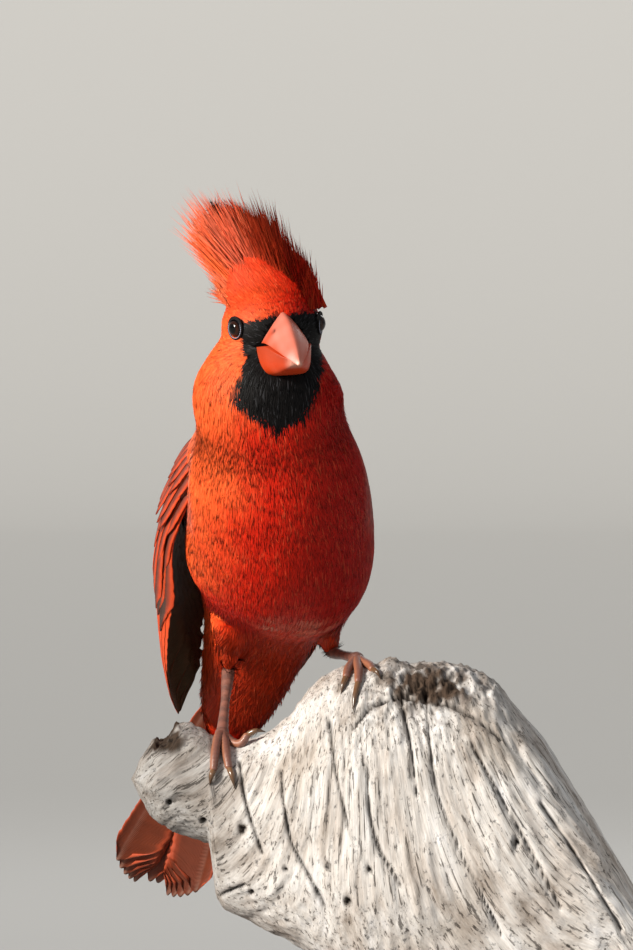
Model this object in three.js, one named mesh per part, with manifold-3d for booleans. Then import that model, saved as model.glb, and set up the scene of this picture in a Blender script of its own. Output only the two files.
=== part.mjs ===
// A life-size male northern cardinal on the broken end of a weathered limb, on a plain display stand.
// Millimetres, +Z up. The bird faces -Y, and its own left side is +X. Until the last lines every place is
// given from the point on the floor below the middle of the breast; the group then moves it over the base.
import * as THREE from "three";
import { mergeVertices } from "three/addons/utils/BufferGeometryUtils.js";
import Module from "manifold-3d";

const wasm = await Module();
wasm.setup();

// Driving dimensions
const GAP = 0.3; // between pieces that touch
const FOOT_GAP = 0.5; // between the feet and the perch
const VANE = 0.5; // thickness of a feather vane
const LAYER = VANE + GAP; // from one overlapping vane to the next
const BASE = { width: 178, depth: 170, thickness: 10, corner: 12, x: 32, y: 13 };
const ROD = { radius: 4, height: 12, places: [[45, -12], [82, 12]] };
const PERCH_BOTTOM = BASE.thickness + ROD.height;
const HEAD = { at: [-1.3, -38.5, 214], yaw: 16, pitch: 13, roll: 3.3 };
const EYE = { radius: 3.1, side: 11.8, forward: 4.1, up: 2.1 };
const TARSUS_RADIUS = 1.45;
const TOE_RADIUS = 1.25;
const WING_LENGTH = 93;
const TAIL_LENGTH = 96;

const point = (x, y, z) => new THREE.Vector3(x, y, z);
const { lerp, clamp, degToRad, smoothstep } = THREE.MathUtils;

// Solids and their Booleans

// The closed solid of a geometry, with its faces pointing out.
function solidOf(geometry) {
  geometry.deleteAttribute("normal");
  geometry.deleteAttribute("uv");
  const merged = mergeVertices(geometry, 1e-4);
  const vertProperties = new Float32Array(merged.attributes.position.array);
  const triVerts = new Uint32Array(merged.index.array);
  const made = new wasm.Manifold(new wasm.Mesh({ numProp: 3, vertProperties, triVerts }));
  if (made.volume() > 0) return made;
  for (let i = 0; i < triVerts.length; i += 3) {
    [triVerts[i + 1], triVerts[i + 2]] = [triVerts[i + 2], triVerts[i + 1]];
  }
  return new wasm.Manifold(new wasm.Mesh({ numProp: 3, vertProperties, triVerts }));
}

// The largest closed body of a solid: loose scraps and sealed hollows go.
function largest(solid) {
  return solid.decompose().reduce((a, b) => (a.volume() > b.volume() ? a : b));
}

const join = (solids) => solids.reduce((a, b) => a.add(b));
const cut = (solid, ...others) => others.reduce((a, b) => a.subtract(b), solid);

// Everything on the far side of a plane, as one big box: what is cut away there.
function beyond(at, normal, size = 400) {
  const box = new THREE.BoxGeometry(size, size, size);
  box.translate(0, 0, size / 2);
  box.applyQuaternion(new THREE.Quaternion().setFromUnitVectors(point(0, 0, 1), normal.clone().normalize()));
  return solidOf(box.translate(at.x, at.y, at.z));
}

// A solid cut in two across a plane, with the gap between: [before, after] along the normal.
function parted(solid, at, normal) {
  const step = normal.clone().normalize().multiplyScalar(GAP / 2);
  const back = normal.clone().negate();
  return [cut(solid, beyond(at.clone().sub(step), normal)), cut(solid, beyond(at.clone().add(step), back))];
}

// Shapes

// The value at t, from 0 to 1, on a smooth curve through evenly spaced values.
function through(values, t) {
  const x = clamp(t, 0, 1) * (values.length - 1);
  const i = Math.min(Math.floor(x), values.length - 2);
  const [a, b, c, d] = [i - 1, i, i + 1, i + 2].map((k) => values[clamp(k, 0, values.length - 1)]);
  const f = x - i;
  return b + 0.5 * f * (c - a + f * (2 * a - 5 * b + 4 * c - d + f * (3 * (b - c) + d - a)));
}

// The place at t on a smooth curve through a table's x, y and z.
const place = (table, t) => point(through(table.x, t), through(table.y, t), through(table.z, t));

// The value at x on straight lines through [x, value] pairs.
function along(pairs, x) {
  const k = clamp(pairs.findIndex((p) => p[0] > x), 1, pairs.length - 1);
  const end = x >= pairs[pairs.length - 1][0] ? pairs.length - 1 : k;
  const [from, to] = [pairs[end - 1], pairs[end]];
  return lerp(from[1], to[1], clamp((x - from[0]) / (to[0] - from[0]), 0, 1));
}

// A closed skin: a sphere's grid laid over spot(t, angle), where t runs from one pole, 0, to the other, 1.
// roundness 1 sets the rows closer near the poles, for a blunt end.
function skin(around, rows, spot, roundness = 1) {
  const sphere = new THREE.SphereGeometry(1, around, rows);
  const p = sphere.attributes.position;
  for (let i = 0; i < p.count; i++) {
    const row = Math.floor(i / (around + 1)) / rows;
    const t = lerp(row, (1 - Math.cos(Math.PI * row)) / 2, roundness);
    const atPole = row === 0 || row === 1;
    const angle = atPole ? 0 : (((i % (around + 1)) % around) / around) * 2 * Math.PI;
    const q = spot(t, angle, atPole);
    p.setXYZ(i, q.x, q.y, q.z);
  }
  return solidOf(sphere);
}

// A tapering limb along points, with a radius at each, its ends rounded over.
function limb(points, radii, { around = 8, rows = 10, grow = 0, bands = 0 } = {}) {
  const curve = new THREE.CatmullRomCurve3(points.map((p) => point(...p)), false, "centripetal");
  const length = curve.getLength();
  // The axis that the limb least follows keeps its sections from turning over.
  const tangents = [0, 0.25, 0.5, 0.75, 1].map((s) => curve.getTangentAt(s));
  const follows = (axis) => Math.max(...tangents.map((tangent) => Math.abs(tangent.dot(axis))));
  const axes = [point(1, 0, 0), point(0, 1, 0), point(0, 0, 1)];
  const across = axes.sort((a, b) => follows(a) - follows(b))[0];
  return skin(around, rows, (t, angle, atPole) => {
    const s = lerp(-grow / length, 1 + grow / length, t);
    const at = curve.getPointAt(clamp(s, 0, 1));
    const tangent = curve.getTangentAt(clamp(s, 0, 1));
    at.addScaledVector(tangent, (s - clamp(s, 0, 1)) * length);
    if (atPole) return at;
    const end = Math.min(t, 1 - t) * length;
    const radius = through(radii, s) + grow;
    const rounding = end < radius ? Math.sqrt(Math.max(0, 1 - (1 - end / radius) ** 2)) : 1;
    const band = 1 + (bands ? 0.07 * Math.sin(2 * Math.PI * bands * s) : 0);
    const a = tangent.clone().cross(across).normalize();
    const b = a.clone().cross(tangent);
    const r = radius * rounding * band;
    return at.addScaledVector(a, r * Math.cos(angle)).addScaledVector(b, r * Math.sin(angle));
  }, 0.5);
}

// A feather vane laid over map(u, v, w), from root to tip [u, v, w], with the widths of its two sides.
// Both faces have the same triangles, so that a thin vane can curve.
function vane(map, root, tip, lead, trail, { rows = 4, columns = 2, point: sharpness = 0.3, bow = 0 } = {}) {
  const grid = new THREE.PlaneGeometry(1, 1, columns, rows);
  const corners = grid.attributes.position;
  const count = corners.count;
  const places = [];
  for (const face of [1, -1]) {
    for (let i = 0; i < count; i++) {
      const t = 0.5 - corners.getY(i);
      const side = corners.getX(i) * 2;
      const width = lerp(0.5, 1, smoothstep(t, 0, 0.45)) * lerp(1, sharpness, smoothstep(t, 0.7, 1));
      const v = lerp(root[1], tip[1], t) + side * width * (side < 0 ? lead : trail);
      const w = lerp(root[2], tip[2], t) + bow * Math.sin(Math.PI * t);
      const half = (VANE / 2) * lerp(1, 0.6, smoothstep(t, 0.8, 1));
      const rounded = t === 1 ? 0.35 * (lead + trail) * Math.abs(side) * sharpness : 0;
      places.push(map(lerp(root[0], tip[0], t) - rounded, v, w + face * half).toArray());
    }
  }
  const index = [];
  const top = grid.index.array;
  for (let i = 0; i < top.length; i += 3) {
    index.push(top[i], top[i + 1], top[i + 2], top[i] + count, top[i + 2] + count, top[i + 1] + count);
  }
  const stride = columns + 1;
  const rim = [];
  for (let c = 0; c < columns; c++) rim.push(c);
  for (let r = 0; r < rows; r++) rim.push(r * stride + columns);
  for (let c = columns; c > 0; c--) rim.push(rows * stride + c);
  for (let r = rows; r > 0; r--) rim.push(r * stride);
  rim.forEach((a, k) => {
    const b = rim[(k + 1) % rim.length];
    index.push(a, b, a + count, b, b + count, a + count);
  });
  const geometry = new THREE.BufferGeometry();
  geometry.setAttribute("position", new THREE.Float32BufferAttribute(places.flat(), 3));
  geometry.setIndex(index);
  return solidOf(geometry);
}

// A repeatable run of numbers from 0 to 1.
function seeded(seed) {
  let state = seed;
  return () => {
    state = (state * 16807) % 2147483647;
    return state / 2147483647;
  };
}

// Trunk: the neck, breast, belly and tail coverts in one smooth form, then parted

// From the throat to the end of the tail coverts: the middle line, then the half width and the depths in
// front of it (breast and belly) and behind it (nape and back).
const TRUNK = {
  x: [-2.6, -3, -3.2, -2, -0.6, 0.8, 0.6, -2.6, -9, -13.8, -18],
  y: [-38, -37.5, -36.5, -32, -24, -12, 1.5, 15, 28, 39, 47.5],
  z: [213, 205, 196, 185, 172, 157, 142, 127.5, 113, 101, 91],
  wide: [13, 18.2, 22.6, 22.2, 26.4, 28, 27.2, 21, 13.8, 9.2, 4.8],
  front: [10, 14.5, 17.5, 19.5, 24.5, 27.5, 24.5, 12, 7.5, 5, 3],
  behind: [14, 18.5, 19.5, 19.5, 21, 23, 22.5, 19, 13, 8, 4],
};

function trunkFrame(t) {
  const at = (s) => place(TRUNK, s);
  const tangent = at(Math.min(1, t + 0.02)).sub(at(Math.max(0, t - 0.02))).normalize();
  const back = point(0, 1, 0).addScaledVector(tangent, -tangent.y).normalize();
  const left = back.clone().cross(tangent).normalize();
  return { at: at(t), tangent, back, left };
}

function trunk(grow = 0) {
  return skin(26, 20, (t, angle, atPole) => {
    const { at, tangent, back, left } = trunkFrame(t);
    if (atPole) return at.addScaledVector(tangent, t === 0 ? -5 - grow : 4 + grow);
    const depth = through(Math.sin(angle) > 0 ? TRUNK.behind : TRUNK.front, t) + grow;
    const wide = through(TRUNK.wide, t) + grow;
    return at.addScaledVector(left, wide * Math.cos(angle)).addScaledVector(back, depth * Math.sin(angle));
  }, 0.35);
}

// Head: its own frame is turned, tipped and tilted on the neck. There x is the bird's left, -y is forward.
const headFrame = new THREE.Matrix4().compose(
  point(...HEAD.at),
  new THREE.Quaternion().setFromEuler(
    new THREE.Euler(degToRad(HEAD.pitch), degToRad(-HEAD.roll), degToRad(HEAD.yaw), "ZXY"),
  ),
  point(1, 1, 1),
);
const onHead = (x, y, z) => point(x, y, z).applyMatrix4(headFrame);

const SKULL = { x: 15.4, front: 15, behind: 16.5, up: 13.2, down: 15.5, middle: 1.5 };

function skull(grow = 0) {
  return skin(24, 14, (t, angle, atPole) => {
    const y = Math.cos(Math.PI * t);
    const ring = atPole ? 0 : Math.sin(Math.PI * t);
    const depth = (y > 0 ? SKULL.behind : SKULL.front) + grow;
    const height = (Math.sin(angle) > 0 ? SKULL.up : SKULL.down) + grow;
    // The face narrows from the cheeks to the bill.
    const cheek = y < 0 ? 1 - 0.1 * y * y : 1;
    const x = (SKULL.x * cheek + grow) * ring * Math.cos(angle);
    return onHead(x, SKULL.middle + depth * y, height * ring * Math.sin(angle));
  }, 0);
}

const eyeCentre = (side) => onHead(side * EYE.side, -EYE.forward, EYE.up);

function eyeball(side, grow = 0) {
  const at = eyeCentre(side);
  const ball = new THREE.SphereGeometry(EYE.radius + grow, 11, 8);
  return solidOf(ball.translate(at.x, at.y, at.z));
}

// The lids: a ring of bare skin that stands round the eye.
function lids(side) {
  const ring = new THREE.TorusGeometry(EYE.radius - 0.2, 0.55, 4, 12);
  ring.scale(1, 1.12, 1);
  const outward = onHead(side * (EYE.side + 9), -EYE.forward - 4.5, EYE.up + 0.6);
  outward.sub(eyeCentre(side)).normalize();
  ring.applyQuaternion(new THREE.Quaternion().setFromUnitVectors(point(0, 0, 1), outward));
  const at = eyeCentre(side).addScaledVector(outward, 1.9);
  return solidOf(ring.translate(at.x, at.y, at.z));
}

// Bill: distances forward from the head's middle, with the heights and half widths there.
const BILL_UPPER = {
  forward: [8, 13, 17, 21, 25, 28, 29.3],
  top: [8, 7.4, 6.1, 3.9, 0.9, -2.2, -3.7],
  bottom: [-3.4, -2.3, -1.8, -2.1, -2.9, -3.9, -4.3],
  wide: [6.8, 6.7, 5.9, 4.7, 3.1, 1.4, 0.5],
};
const BILL_LOWER = {
  forward: [7, 12, 16, 20, 23, 25],
  top: [-3.8, -2.7, -2.1, -2.4, -3.1, -3.7],
  bottom: [-10.8, -10.6, -9.5, -7.7, -6.1, -5],
  wide: [8.1, 8, 6.6, 4.6, 2.6, 0.9],
};

// One half of the bill. keel is 1 for the upper half, whose ridge is on top, and -1 for the lower.
function billHalf(form, keel, grow = 0) {
  return skin(14, 9, (t, angle, atPole) => {
    const forward = through(form.forward, t);
    const edge = through(keel > 0 ? form.bottom : form.top, t);
    const ridge = through(keel > 0 ? form.top : form.bottom, t);
    if (atPole) return onHead(0, -forward - (t === 1 ? grow : -grow), (edge + ridge) / 2);
    const s = Math.sin(angle) * keel;
    const wide = through(form.wide, t) + grow;
    const c = Math.cos(angle);
    // The upper half is ridged above, and the lower one is broad and flat below.
    const full = keel > 0 ? (1 - Math.abs(c) ** 1.4) ** 0.9 : Math.abs(s) ** 0.6;
    const rise = s > 0 ? (Math.abs(ridge - edge) + grow) * full : (0.25 + grow) * s;
    return onHead(wide * Math.sign(c) * Math.abs(c) ** (keel > 0 ? 1 : 0.6), -forward, edge + keel * rise);
  }, 0.3);
}

function nostril(side) {
  const hole = new THREE.SphereGeometry(0.8, 8, 6);
  hole.scale(1, 1.4, 0.8).translate(side * 5.2, -14.6, 3.2);
  return solidOf(hole.applyMatrix4(headFrame));
}

// Crest: long feathers from the crown, blown to the bird's right. Each tip lies on the crest's outline.
const CREST_OUTLINE = {
  x: [12.6, 10.5, 7.2, 3.3, -1.2, -4.8, -8.7, -12, -16.5, -22.6, -27.3, -29.1, -24, -20.5, -19, -18.5],
  y: [-44, -42, -39, -36, -33, -30, -28, -26, -25, -24, -23, -22, -22, -22, -22, -23],
  z: [222, 230, 236.8, 240.4, 244.9, 250, 253.9, 250, 252, 256, 251.5, 248.5, 242.5, 238, 232, 226],
};
const CREST = { rows: 2, perRow: 14, width: 2.4 };

// The dense middle of the crest, by height: its middle, half width and half depth there.
const CREST_CORE = {
  x: [-2, -2.4, -4, -5.8, -8.2, -11.6, -14.6],
  y: [-36, -35, -33.5, -31.5, -29.5, -27, -25.5],
  z: [217, 222.5, 228, 233.5, 238.5, 243, 246.5],
  wide: [12, 13.2, 12.4, 11.2, 9.4, 7.2, 4.4],
  deep: [13, 13, 11.5, 9.5, 7.3, 5, 2.8],
};

function crestCore() {
  return skin(18, 9, (t, angle, atPole) => {
    const at = place(CREST_CORE, t);
    if (atPole) return at.add(point(t * -2, t * 0.5, t * 2));
    const wide = through(CREST_CORE.wide, t) * Math.cos(angle);
    const deep = through(CREST_CORE.deep, t) * Math.sin(angle);
    return at.add(point(wide * 0.97, deep, 0.3 * wide + 0.3 * deep));
  }, 0.4);
}

function crestFeathers() {
  const next = seeded(41);
  const feathers = [];
  for (let row = 0; row < CREST.rows; row++) {
    for (let k = 0; k < CREST.perRow; k++) {
      const q = clamp((k + 0.5 * (row % 2) + 0.3 * next()) / (CREST.perRow - 0.5), 0, 1);
      const depth = row / (CREST.rows - 1);
      const reach = lerp(1, 0.8, 0.4 * depth + 0.6 * next());
      const outline = place(CREST_OUTLINE, q);
      const from = clamp(1.25 * q - 0.25, 0, 1);
      const root = point(lerp(9.5, -13, from), lerp(-43, -31, 0.5 * q + 0.5 * depth), lerp(221, 228, from));
      const front = point(0, lerp(3, -4.5, depth), 0);
      const tip = root.clone().lerp(outline, reach).add(front.multiplyScalar(1 - 0.4 * q));
      const reachOut = tip.clone().sub(root);
      const length = reachOut.length();
      const u = reachOut.normalize();
      const facing = point(0.25, -1, 0.1 + 0.2 * next());
      const v = u.clone().cross(facing).normalize();
      const w = v.clone().cross(u).normalize();
      const out = (a, b) => root.clone().addScaledVector(u, a).addScaledVector(v, b);
      const lay = (a, b, c) => out(a, b).addScaledVector(w, c);
      const half = CREST.width * lerp(0.8, 1.1, next());
      const form = { rows: 2, columns: 1, point: 0.12, bow: -1 };
      feathers.push(vane(lay, [1, 0, 0], [length, 0, 0], half, half, form));
    }
  }
  return feathers;
}

// Wings: a folded wing is laid out over its own bent surface. u runs from the wrist to the tip, v from the
// leading edge to the trailing one and w outward. The lead line is where v and w are 0. turn is the angle of
// v from the bird's middle towards its back, at the wrist and at the tip.
const WING_RIGHT = {
  side: -1,
  lead: { x: [-22.5, -28, -31.6, -34.4, -31.8], y: [-24, -9.5, 5, 20, 34], z: [171, 152, 133, 114, 94.5] },
  turn: [97, 98, 92, 74, 58],
  radius: [28, 28, 32, 42, 60],
};
const WING_LEFT = {
  side: 1,
  lead: { x: [18.5, 20.5, 19, 13.5, 3.5], y: [-19, -3, 12.5, 28.5, 43], z: [176, 158.5, 140, 121.5, 103] },
  turn: [80, 74, 68, 62, 58],
  radius: [25, 26, 27, 32, 44],
};

function wingMap(wing) {
  const at = (s) => place(wing.lead, s);
  return (u, v, w) => {
    const s = clamp(u / WING_LENGTH, 0, 1);
    const tangent = at(Math.min(1, s + 0.03)).sub(at(Math.max(0, s - 0.03))).normalize();
    const lead = at(s).addScaledVector(tangent, u - s * WING_LENGTH);
    const medial = point(-wing.side, 0, 0).addScaledVector(tangent, wing.side * tangent.x).normalize();
    const dorsal = point(0, 1, 0).addScaledVector(tangent, -tangent.y);
    dorsal.addScaledVector(medial, -medial.y).normalize();
    const turn = degToRad(through(wing.turn, s));
    const across = medial.clone().multiplyScalar(Math.cos(turn)).addScaledVector(dorsal, Math.sin(turn));
    const out = medial.clone().multiplyScalar(-Math.sin(turn)).addScaledVector(dorsal, Math.cos(turn));
    const radius = through(wing.radius, s);
    const bend = v / radius;
    return lead
      .addScaledVector(across, (radius + w) * Math.sin(bend))
      .addScaledVector(out, (radius + w) * Math.cos(bend) - radius);
  };
}

const FLIGHT = { primaries: 5, secondaries: 2, tertials: 2 };

// Flight feathers from the outermost primary, which lies innermost, to the last tertial on top.
function flightFeathers(map) {
  const all = FLIGHT.primaries + FLIGHT.secondaries + FLIGHT.tertials;
  const feathers = [];
  for (let k = 0; k < all; k++) {
    const q = k / (all - 1);
    const w = 0.4 + LAYER * k;
    const tipU = through([80, 89, 93, 92, 87, 79, 75, 71, 66, 59, 50], q);
    const tipV = through([2.5, 3.2, 4.5, 6.5, 9, 12, 15, 18, 21, 24, 26], q);
    const root = [lerp(22, 10, q), lerp(3, 19, q), lerp(2, 5.4, q)];
    const form = { point: 0.42, bow: 0.12 * w };
    feathers.push(vane(map, root, [tipU, tipV, w * 0.9], 3.4, lerp(8.8, 7, q), form));
  }
  return feathers;
}

// One tier of covert feathers across the wing, over the flight feathers.
function covertTier(map, { count, rootU, tipU, v, w, half }) {
  const feathers = [];
  for (let k = 0; k < count; k++) {
    const q = k / (count - 1);
    const at = lerp(v[0], v[1], q);
    const tip = [lerp(tipU[0], tipU[1], q), at + 1, w + LAYER * (k % 2)];
    const form = { rows: 2, columns: 1, point: 0.4 };
    feathers.push(vane(map, [rootU, at, w - 2.4], tip, half, half, form));
  }
  return feathers;
}

function wingCore(map) {
  return skin(18, 10, (t, angle, atPole) => {
    const u = lerp(-14, 40, t);
    const fullness = atPole ? 0 : Math.sqrt(1 - (2 * t - 1) ** 2);
    const v = 11.5 + 4 * t + 13.5 * fullness * Math.cos(angle);
    return map(u, v, lerp(2.6, 3.4, t) + lerp(4.4, 4.2, t) * fullness * Math.sin(angle));
  }, 0.8);
}

function wing(form) {
  const map = wingMap(form);
  const greater = covertTier(map, { count: 6, rootU: 24, tipU: [49, 43], v: [2, 25], w: 6.9, half: 3.2 });
  const median = covertTier(map, { count: 6, rootU: 12, tipU: [31, 27], v: [2, 23], w: 7.5, half: 3.1 });
  return join([wingCore(map), ...flightFeathers(map), ...greater, ...median]);
}

// Tail: twelve feathers fanned in a stack, the middle pair on top
const TAIL = {
  root: [-10, 33, 112],
  along: point(-0.302, 0.616, -0.728).normalize(),
  left: point(0.924, 0, -0.382),
};

function tailMap(u, v, w) {
  const back = TAIL.left.clone().cross(TAIL.along).normalize();
  if (back.y < 0) back.negate();
  return point(...TAIL.root)
    .addScaledVector(TAIL.along, u)
    .addScaledVector(TAIL.left, v)
    .addScaledVector(back, w - 0.004 * v * v);
}

function tailFeathers() {
  const feathers = [];
  for (let pair = 0; pair < 6; pair++) {
    for (const side of [-1, 1]) {
      const w = pair === 0 ? (side > 0 ? 2 * LAYER : LAYER) : -LAYER * (pair - 1);
      const lateral = pair === 0 ? 1.2 : 3.6 + 1.85 * pair;
      const length = TAIL_LENGTH - 0.35 * pair * pair + (pair === 0 ? -2 : 0);
      const [lead, trail] = pair === 0 ? [5.5, 5.5] : [3.1 + 1.6 * pair, 3.6];
      const medial = pair === 0 ? lead : Math.min(lead, lateral - 0.5);
      const root = [8, side * (pair === 0 ? 0.6 : 3.4 + 0.12 * pair), w * 0.45];
      const [before, after] = side > 0 ? [medial, trail] : [trail, medial];
      const tip = [length, side * lateral, w];
      feathers.push(vane(tailMap, root, tip, before, after, { point: 0.72, rows: 4 }));
    }
  }
  return feathers;
}

// Legs and feet: the shank stands on the foot's hub, and each toe runs from the hub over the perch
const LEG_RIGHT = {
  side: -1,
  knee: [-12.5, -2, 134],
  ankle: [-15, 15, 110.8],
  hub: [-16.8, -2, 92.3],
  thigh: [8.5, 7, 3.9, 2.3],
};
const LEG_LEFT = {
  side: 1,
  knee: [14.5, -4, 137],
  ankle: [15.6, 18.5, 116.4],
  hub: [23.7, -4.5, 114.9],
  thigh: [9, 8.5, 5.2, 3],
};

function thigh(leg) {
  const knee = point(...leg.knee);
  const ankle = point(...leg.ankle);
  const route = [0, 0.45, 0.8, 1].map((s) => knee.clone().lerp(ankle, s).toArray());
  return limb(route, leg.thigh, { around: 14, rows: 10 });
}

function shank(leg, grow = 0) {
  const ankle = point(...leg.ankle);
  const hub = point(...leg.hub);
  const heel = ankle.clone().add(point(0, 1.3, 0.8));
  const route = [heel, ...[0.12, 0.5, 0.88].map((s) => ankle.clone().lerp(hub, s)), hub];
  const radii = [1.9, 1.7, 1.3, 1.45, 1.7].map((r) => (r * TARSUS_RADIUS) / 1.45);
  return limb(route.map((p) => p.toArray()), radii, { around: 8, rows: 15, grow, bands: grow ? 0 : 5 });
}

// The perch: sections along X, each a rounded form between a lowest and a highest point
const PERCH_TOP = [
  [-43.5, 79], [-41.5, 84.5], [-39.3, 87.4], [-36.6, 90.2], [-33.2, 90.6], [-30.6, 95.4], [-26, 95.4],
  [-21, 92.6], [-17, 90.4], [-13, 89.2], [-6.6, 90.6], [-1.2, 93.6], [4.8, 99], [9.6, 106], [13.5, 109.6],
  [18.3, 112], [24, 113], [29.7, 113.6], [33, 115.4], [39.6, 113.2], [48.6, 113.8], [57.6, 112],
  [65, 108.4], [69.6, 102.4], [75.6, 95.8], [80, 90.4], [87.6, 78.4], [96.6, 63.4], [106.5, 46.9],
  [113, 35], [118, 26],
];
const PERCH_LOW = [
  [-43.5, 78], [-41.4, 73.4], [-39, 68.8], [-36, 65.6], [-30.6, 62.8], [-24.6, 61], [-20.6, 59.6],
  [-18.6, 43], [-15.9, 39.4], [-6.6, 35.2], [0.3, 31.9], [6.9, 28], [15.6, 22.6], [28, 14], [60, 6],
  [104, 8], [118, 20],
];
const PERCH_DEPTH = [
  [-43.5, 1.5], [-41, 7], [-36, 10.5], [-26, 12.5], [-16, 14], [-4, 16.5], [8, 20.5], [24, 25.5],
  [45, 28.5], [70, 30], [95, 28], [108, 25], [118, 19],
];
const PERCH_MIDDLE = [[-43.5, 0], [-20, -0.5], [8, -2], [24, -4], [60, -4], [118, -2]];
const PERCH_SQUARE = 2.4; // exponent of the sections: 2 is an ellipse

// The perch's section at x: its middle and half sizes.
function perchSection(x) {
  const top = along(PERCH_TOP, x);
  const low = along(PERCH_LOW, x);
  const depth = along(PERCH_DEPTH, x);
  return { y: along(PERCH_MIDDLE, x), z: (top + low) / 2, depth, height: (top - low) / 2 };
}

// The place on the perch at x, a share d of its depth and a share h of its height, lifted off its surface.
function liftedOff(x, d, h, lift) {
  const { y, z, depth, height } = perchSection(x);
  const slope = (share) => Math.sign(share) * Math.abs(share) ** (PERCH_SQUARE - 1);
  const normal = point(0, slope(d) / depth, slope(h) / height).normalize();
  return point(x, y + d * depth, z + h * height).addScaledVector(normal, lift).toArray();
}

const otherShare = (share) => (1 - Math.abs(share) ** PERCH_SQUARE) ** (1 / PERCH_SQUARE);

// On the perch's front, or with side -1 its back, at x and height z.
function onPerch(x, z, lift, side = 1) {
  const section = perchSection(x);
  const h = clamp((z - section.z) / section.height, -0.999, 0.999);
  return liftedOff(x, -side * otherShare(h), h, lift);
}

// On top of the perch at x and y.
function overPerch(x, y, lift) {
  const section = perchSection(x);
  const d = clamp((y - section.y) / section.depth, -0.999, 0.999);
  return liftedOff(x, d, otherShare(d), lift);
}

const PERCH_ROWS = 36;

function perchBody() {
  const from = PERCH_TOP[0][0];
  const to = PERCH_TOP[PERCH_TOP.length - 1][0];
  const whole = skin(18, PERCH_ROWS, (t, angle, atPole) => {
    const x = lerp(from, to, t);
    const { y, z, depth, height } = perchSection(x);
    if (atPole) return point(x + (t === 0 ? -0.6 : 3), y, z);
    const c = Math.cos(angle);
    const s = Math.sin(angle);
    // Weathered ridges follow the grain, and stay off the top, where the feet stand.
    const waves = 0.5 * Math.sin(9 * angle + 0.06 * x) + 0.4 * Math.sin(5 * angle - 0.11 * x);
    const ridge = (1 - s * s * 0.9) * waves;
    return point(
      x,
      y + (depth + ridge) * Math.sign(c) * Math.abs(c) ** (2 / PERCH_SQUARE),
      z + height * Math.sign(s) * Math.abs(s) ** (2 / PERCH_SQUARE),
    );
  }, 0);
  return cut(whole, beyond(point(0, 0, PERCH_BOTTOM), point(0, 0, -1)));
}

// Toes: places on top of the perch, on its front or behind it, after the hub; then the claw's tip.
const LIFT = TOE_RADIUS - 0.35;
const top = (x, y, lift = LIFT) => overPerch(x, y, lift);
const front = (x, z, lift = LIFT) => onPerch(x, z, lift);
const rear = (x, z, lift = LIFT) => onPerch(x, z, lift, -1);
const TOES_RIGHT = [
  { path: [top(-18, -5), front(-18.9, 86), front(-19.3, 81)], claw: front(-20.4, 77.2, 0.3) },
  { path: [top(-16, -5.5), front(-15.4, 85.6), front(-14.6, 81.6)], claw: front(-12.8, 76, 0.3) },
  { path: [top(-13.6, -4.5), top(-11, -6), [-8.9, -6.8, 92.6]], claw: [-3.6, -7.6, 93] },
  { path: [top(-17, 1.5), top(-17.4, 5.5), rear(-17.8, 86)], claw: rear(-18, 81, 0.3) },
];
const TOES_LEFT = [
  { path: [top(21.8, -8.5), top(20.8, -12.5), top(20.4, -15.5)], claw: top(18.8, -19, 0.3) },
  { path: [top(23.9, -10), top(24.1, -14.5), top(24, -18.5)], claw: top(22.2, -23.5, 0.3) },
  { path: [top(26, -8.5), top(27.6, -11.8), top(28.4, -14.6)], claw: top(30.8, -18.5, 0.3) },
  { path: [top(24.2, 0), top(24.8, 4), top(25.2, 7.5)], claw: top(25.6, 12, 0.3) },
];

function toe(leg, { path }, grow = 0) {
  return limb([leg.hub, ...path], [1.5, 1.25, 1.2, 1.05].map((r) => (r * TOE_RADIUS) / 1.25), {
    around: 6, rows: 9, grow, bands: 0,
  });
}

function claw({ path, claw: tip }, grow = 0) {
  const end = point(...path[path.length - 1]);
  const before = point(...path[path.length - 2]);
  const along = end.clone().sub(before).normalize();
  const start = end.clone().addScaledVector(along, -0.6);
  const middle = start.clone().lerp(point(...tip), 0.5).add(point(0, -0.7, 0.9));
  return limb([start.toArray(), middle.toArray(), tip], [0.9, 0.75, 0.12], { around: 6, rows: 6, grow });
}

function foot(leg, toes, grow = 0) {
  const hub = new THREE.SphereGeometry(2.1 + grow, 9, 6);
  return join([solidOf(hub.translate(...leg.hub)), ...toes.map((t) => toe(leg, t, grow))]);
}

// Stand
function standBase() {
  const { width, depth, thickness, corner, x, y } = BASE;
  const outline = new THREE.Shape();
  const [a, b] = [width / 2 - corner, depth / 2 - corner];
  outline.moveTo(-a, -depth / 2);
  outline.lineTo(a, -depth / 2);
  outline.absarc(a, -b, corner, -Math.PI / 2, 0);
  outline.absarc(a, b, corner, 0, Math.PI / 2);
  outline.absarc(-a, b, corner, Math.PI / 2, Math.PI);
  outline.absarc(-a, -b, corner, Math.PI, 1.5 * Math.PI);
  const form = { depth: thickness, bevelEnabled: false, curveSegments: 6 };
  return solidOf(new THREE.ExtrudeGeometry(outline, form).translate(x, y, 0));
}

function standRod([x, y]) {
  const rod = new THREE.CylinderGeometry(ROD.radius, ROD.radius, ROD.height - 2 * GAP, 20);
  rod.rotateX(Math.PI / 2);
  return solidOf(rod.translate(x, y, BASE.thickness + ROD.height / 2));
}

// Materials
function finish(color, roughness, metalness = 0) {
  return new THREE.MeshStandardMaterial({ color, roughness, metalness });
}

const PLUMAGE = finish(0xc8321a, 0.75);
const WING_PLUMAGE = finish(0x8a3a26, 0.65);
const BILL_HORN = finish(0xe0654a, 0.35);
const LEG_SKIN = finish(0x7a5148, 0.55);
const CLAW_HORN = finish(0x6d5340, 0.35);
const EYE_GLOSS = finish(0x14100c, 0.05);
const GREY_WOOD = finish(0xb0a89e, 0.9);
const BASE_WOOD = finish(0x3c2a20, 0.45);
const STEEL = finish(0xb8b8bc, 0.3, 1);

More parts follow.
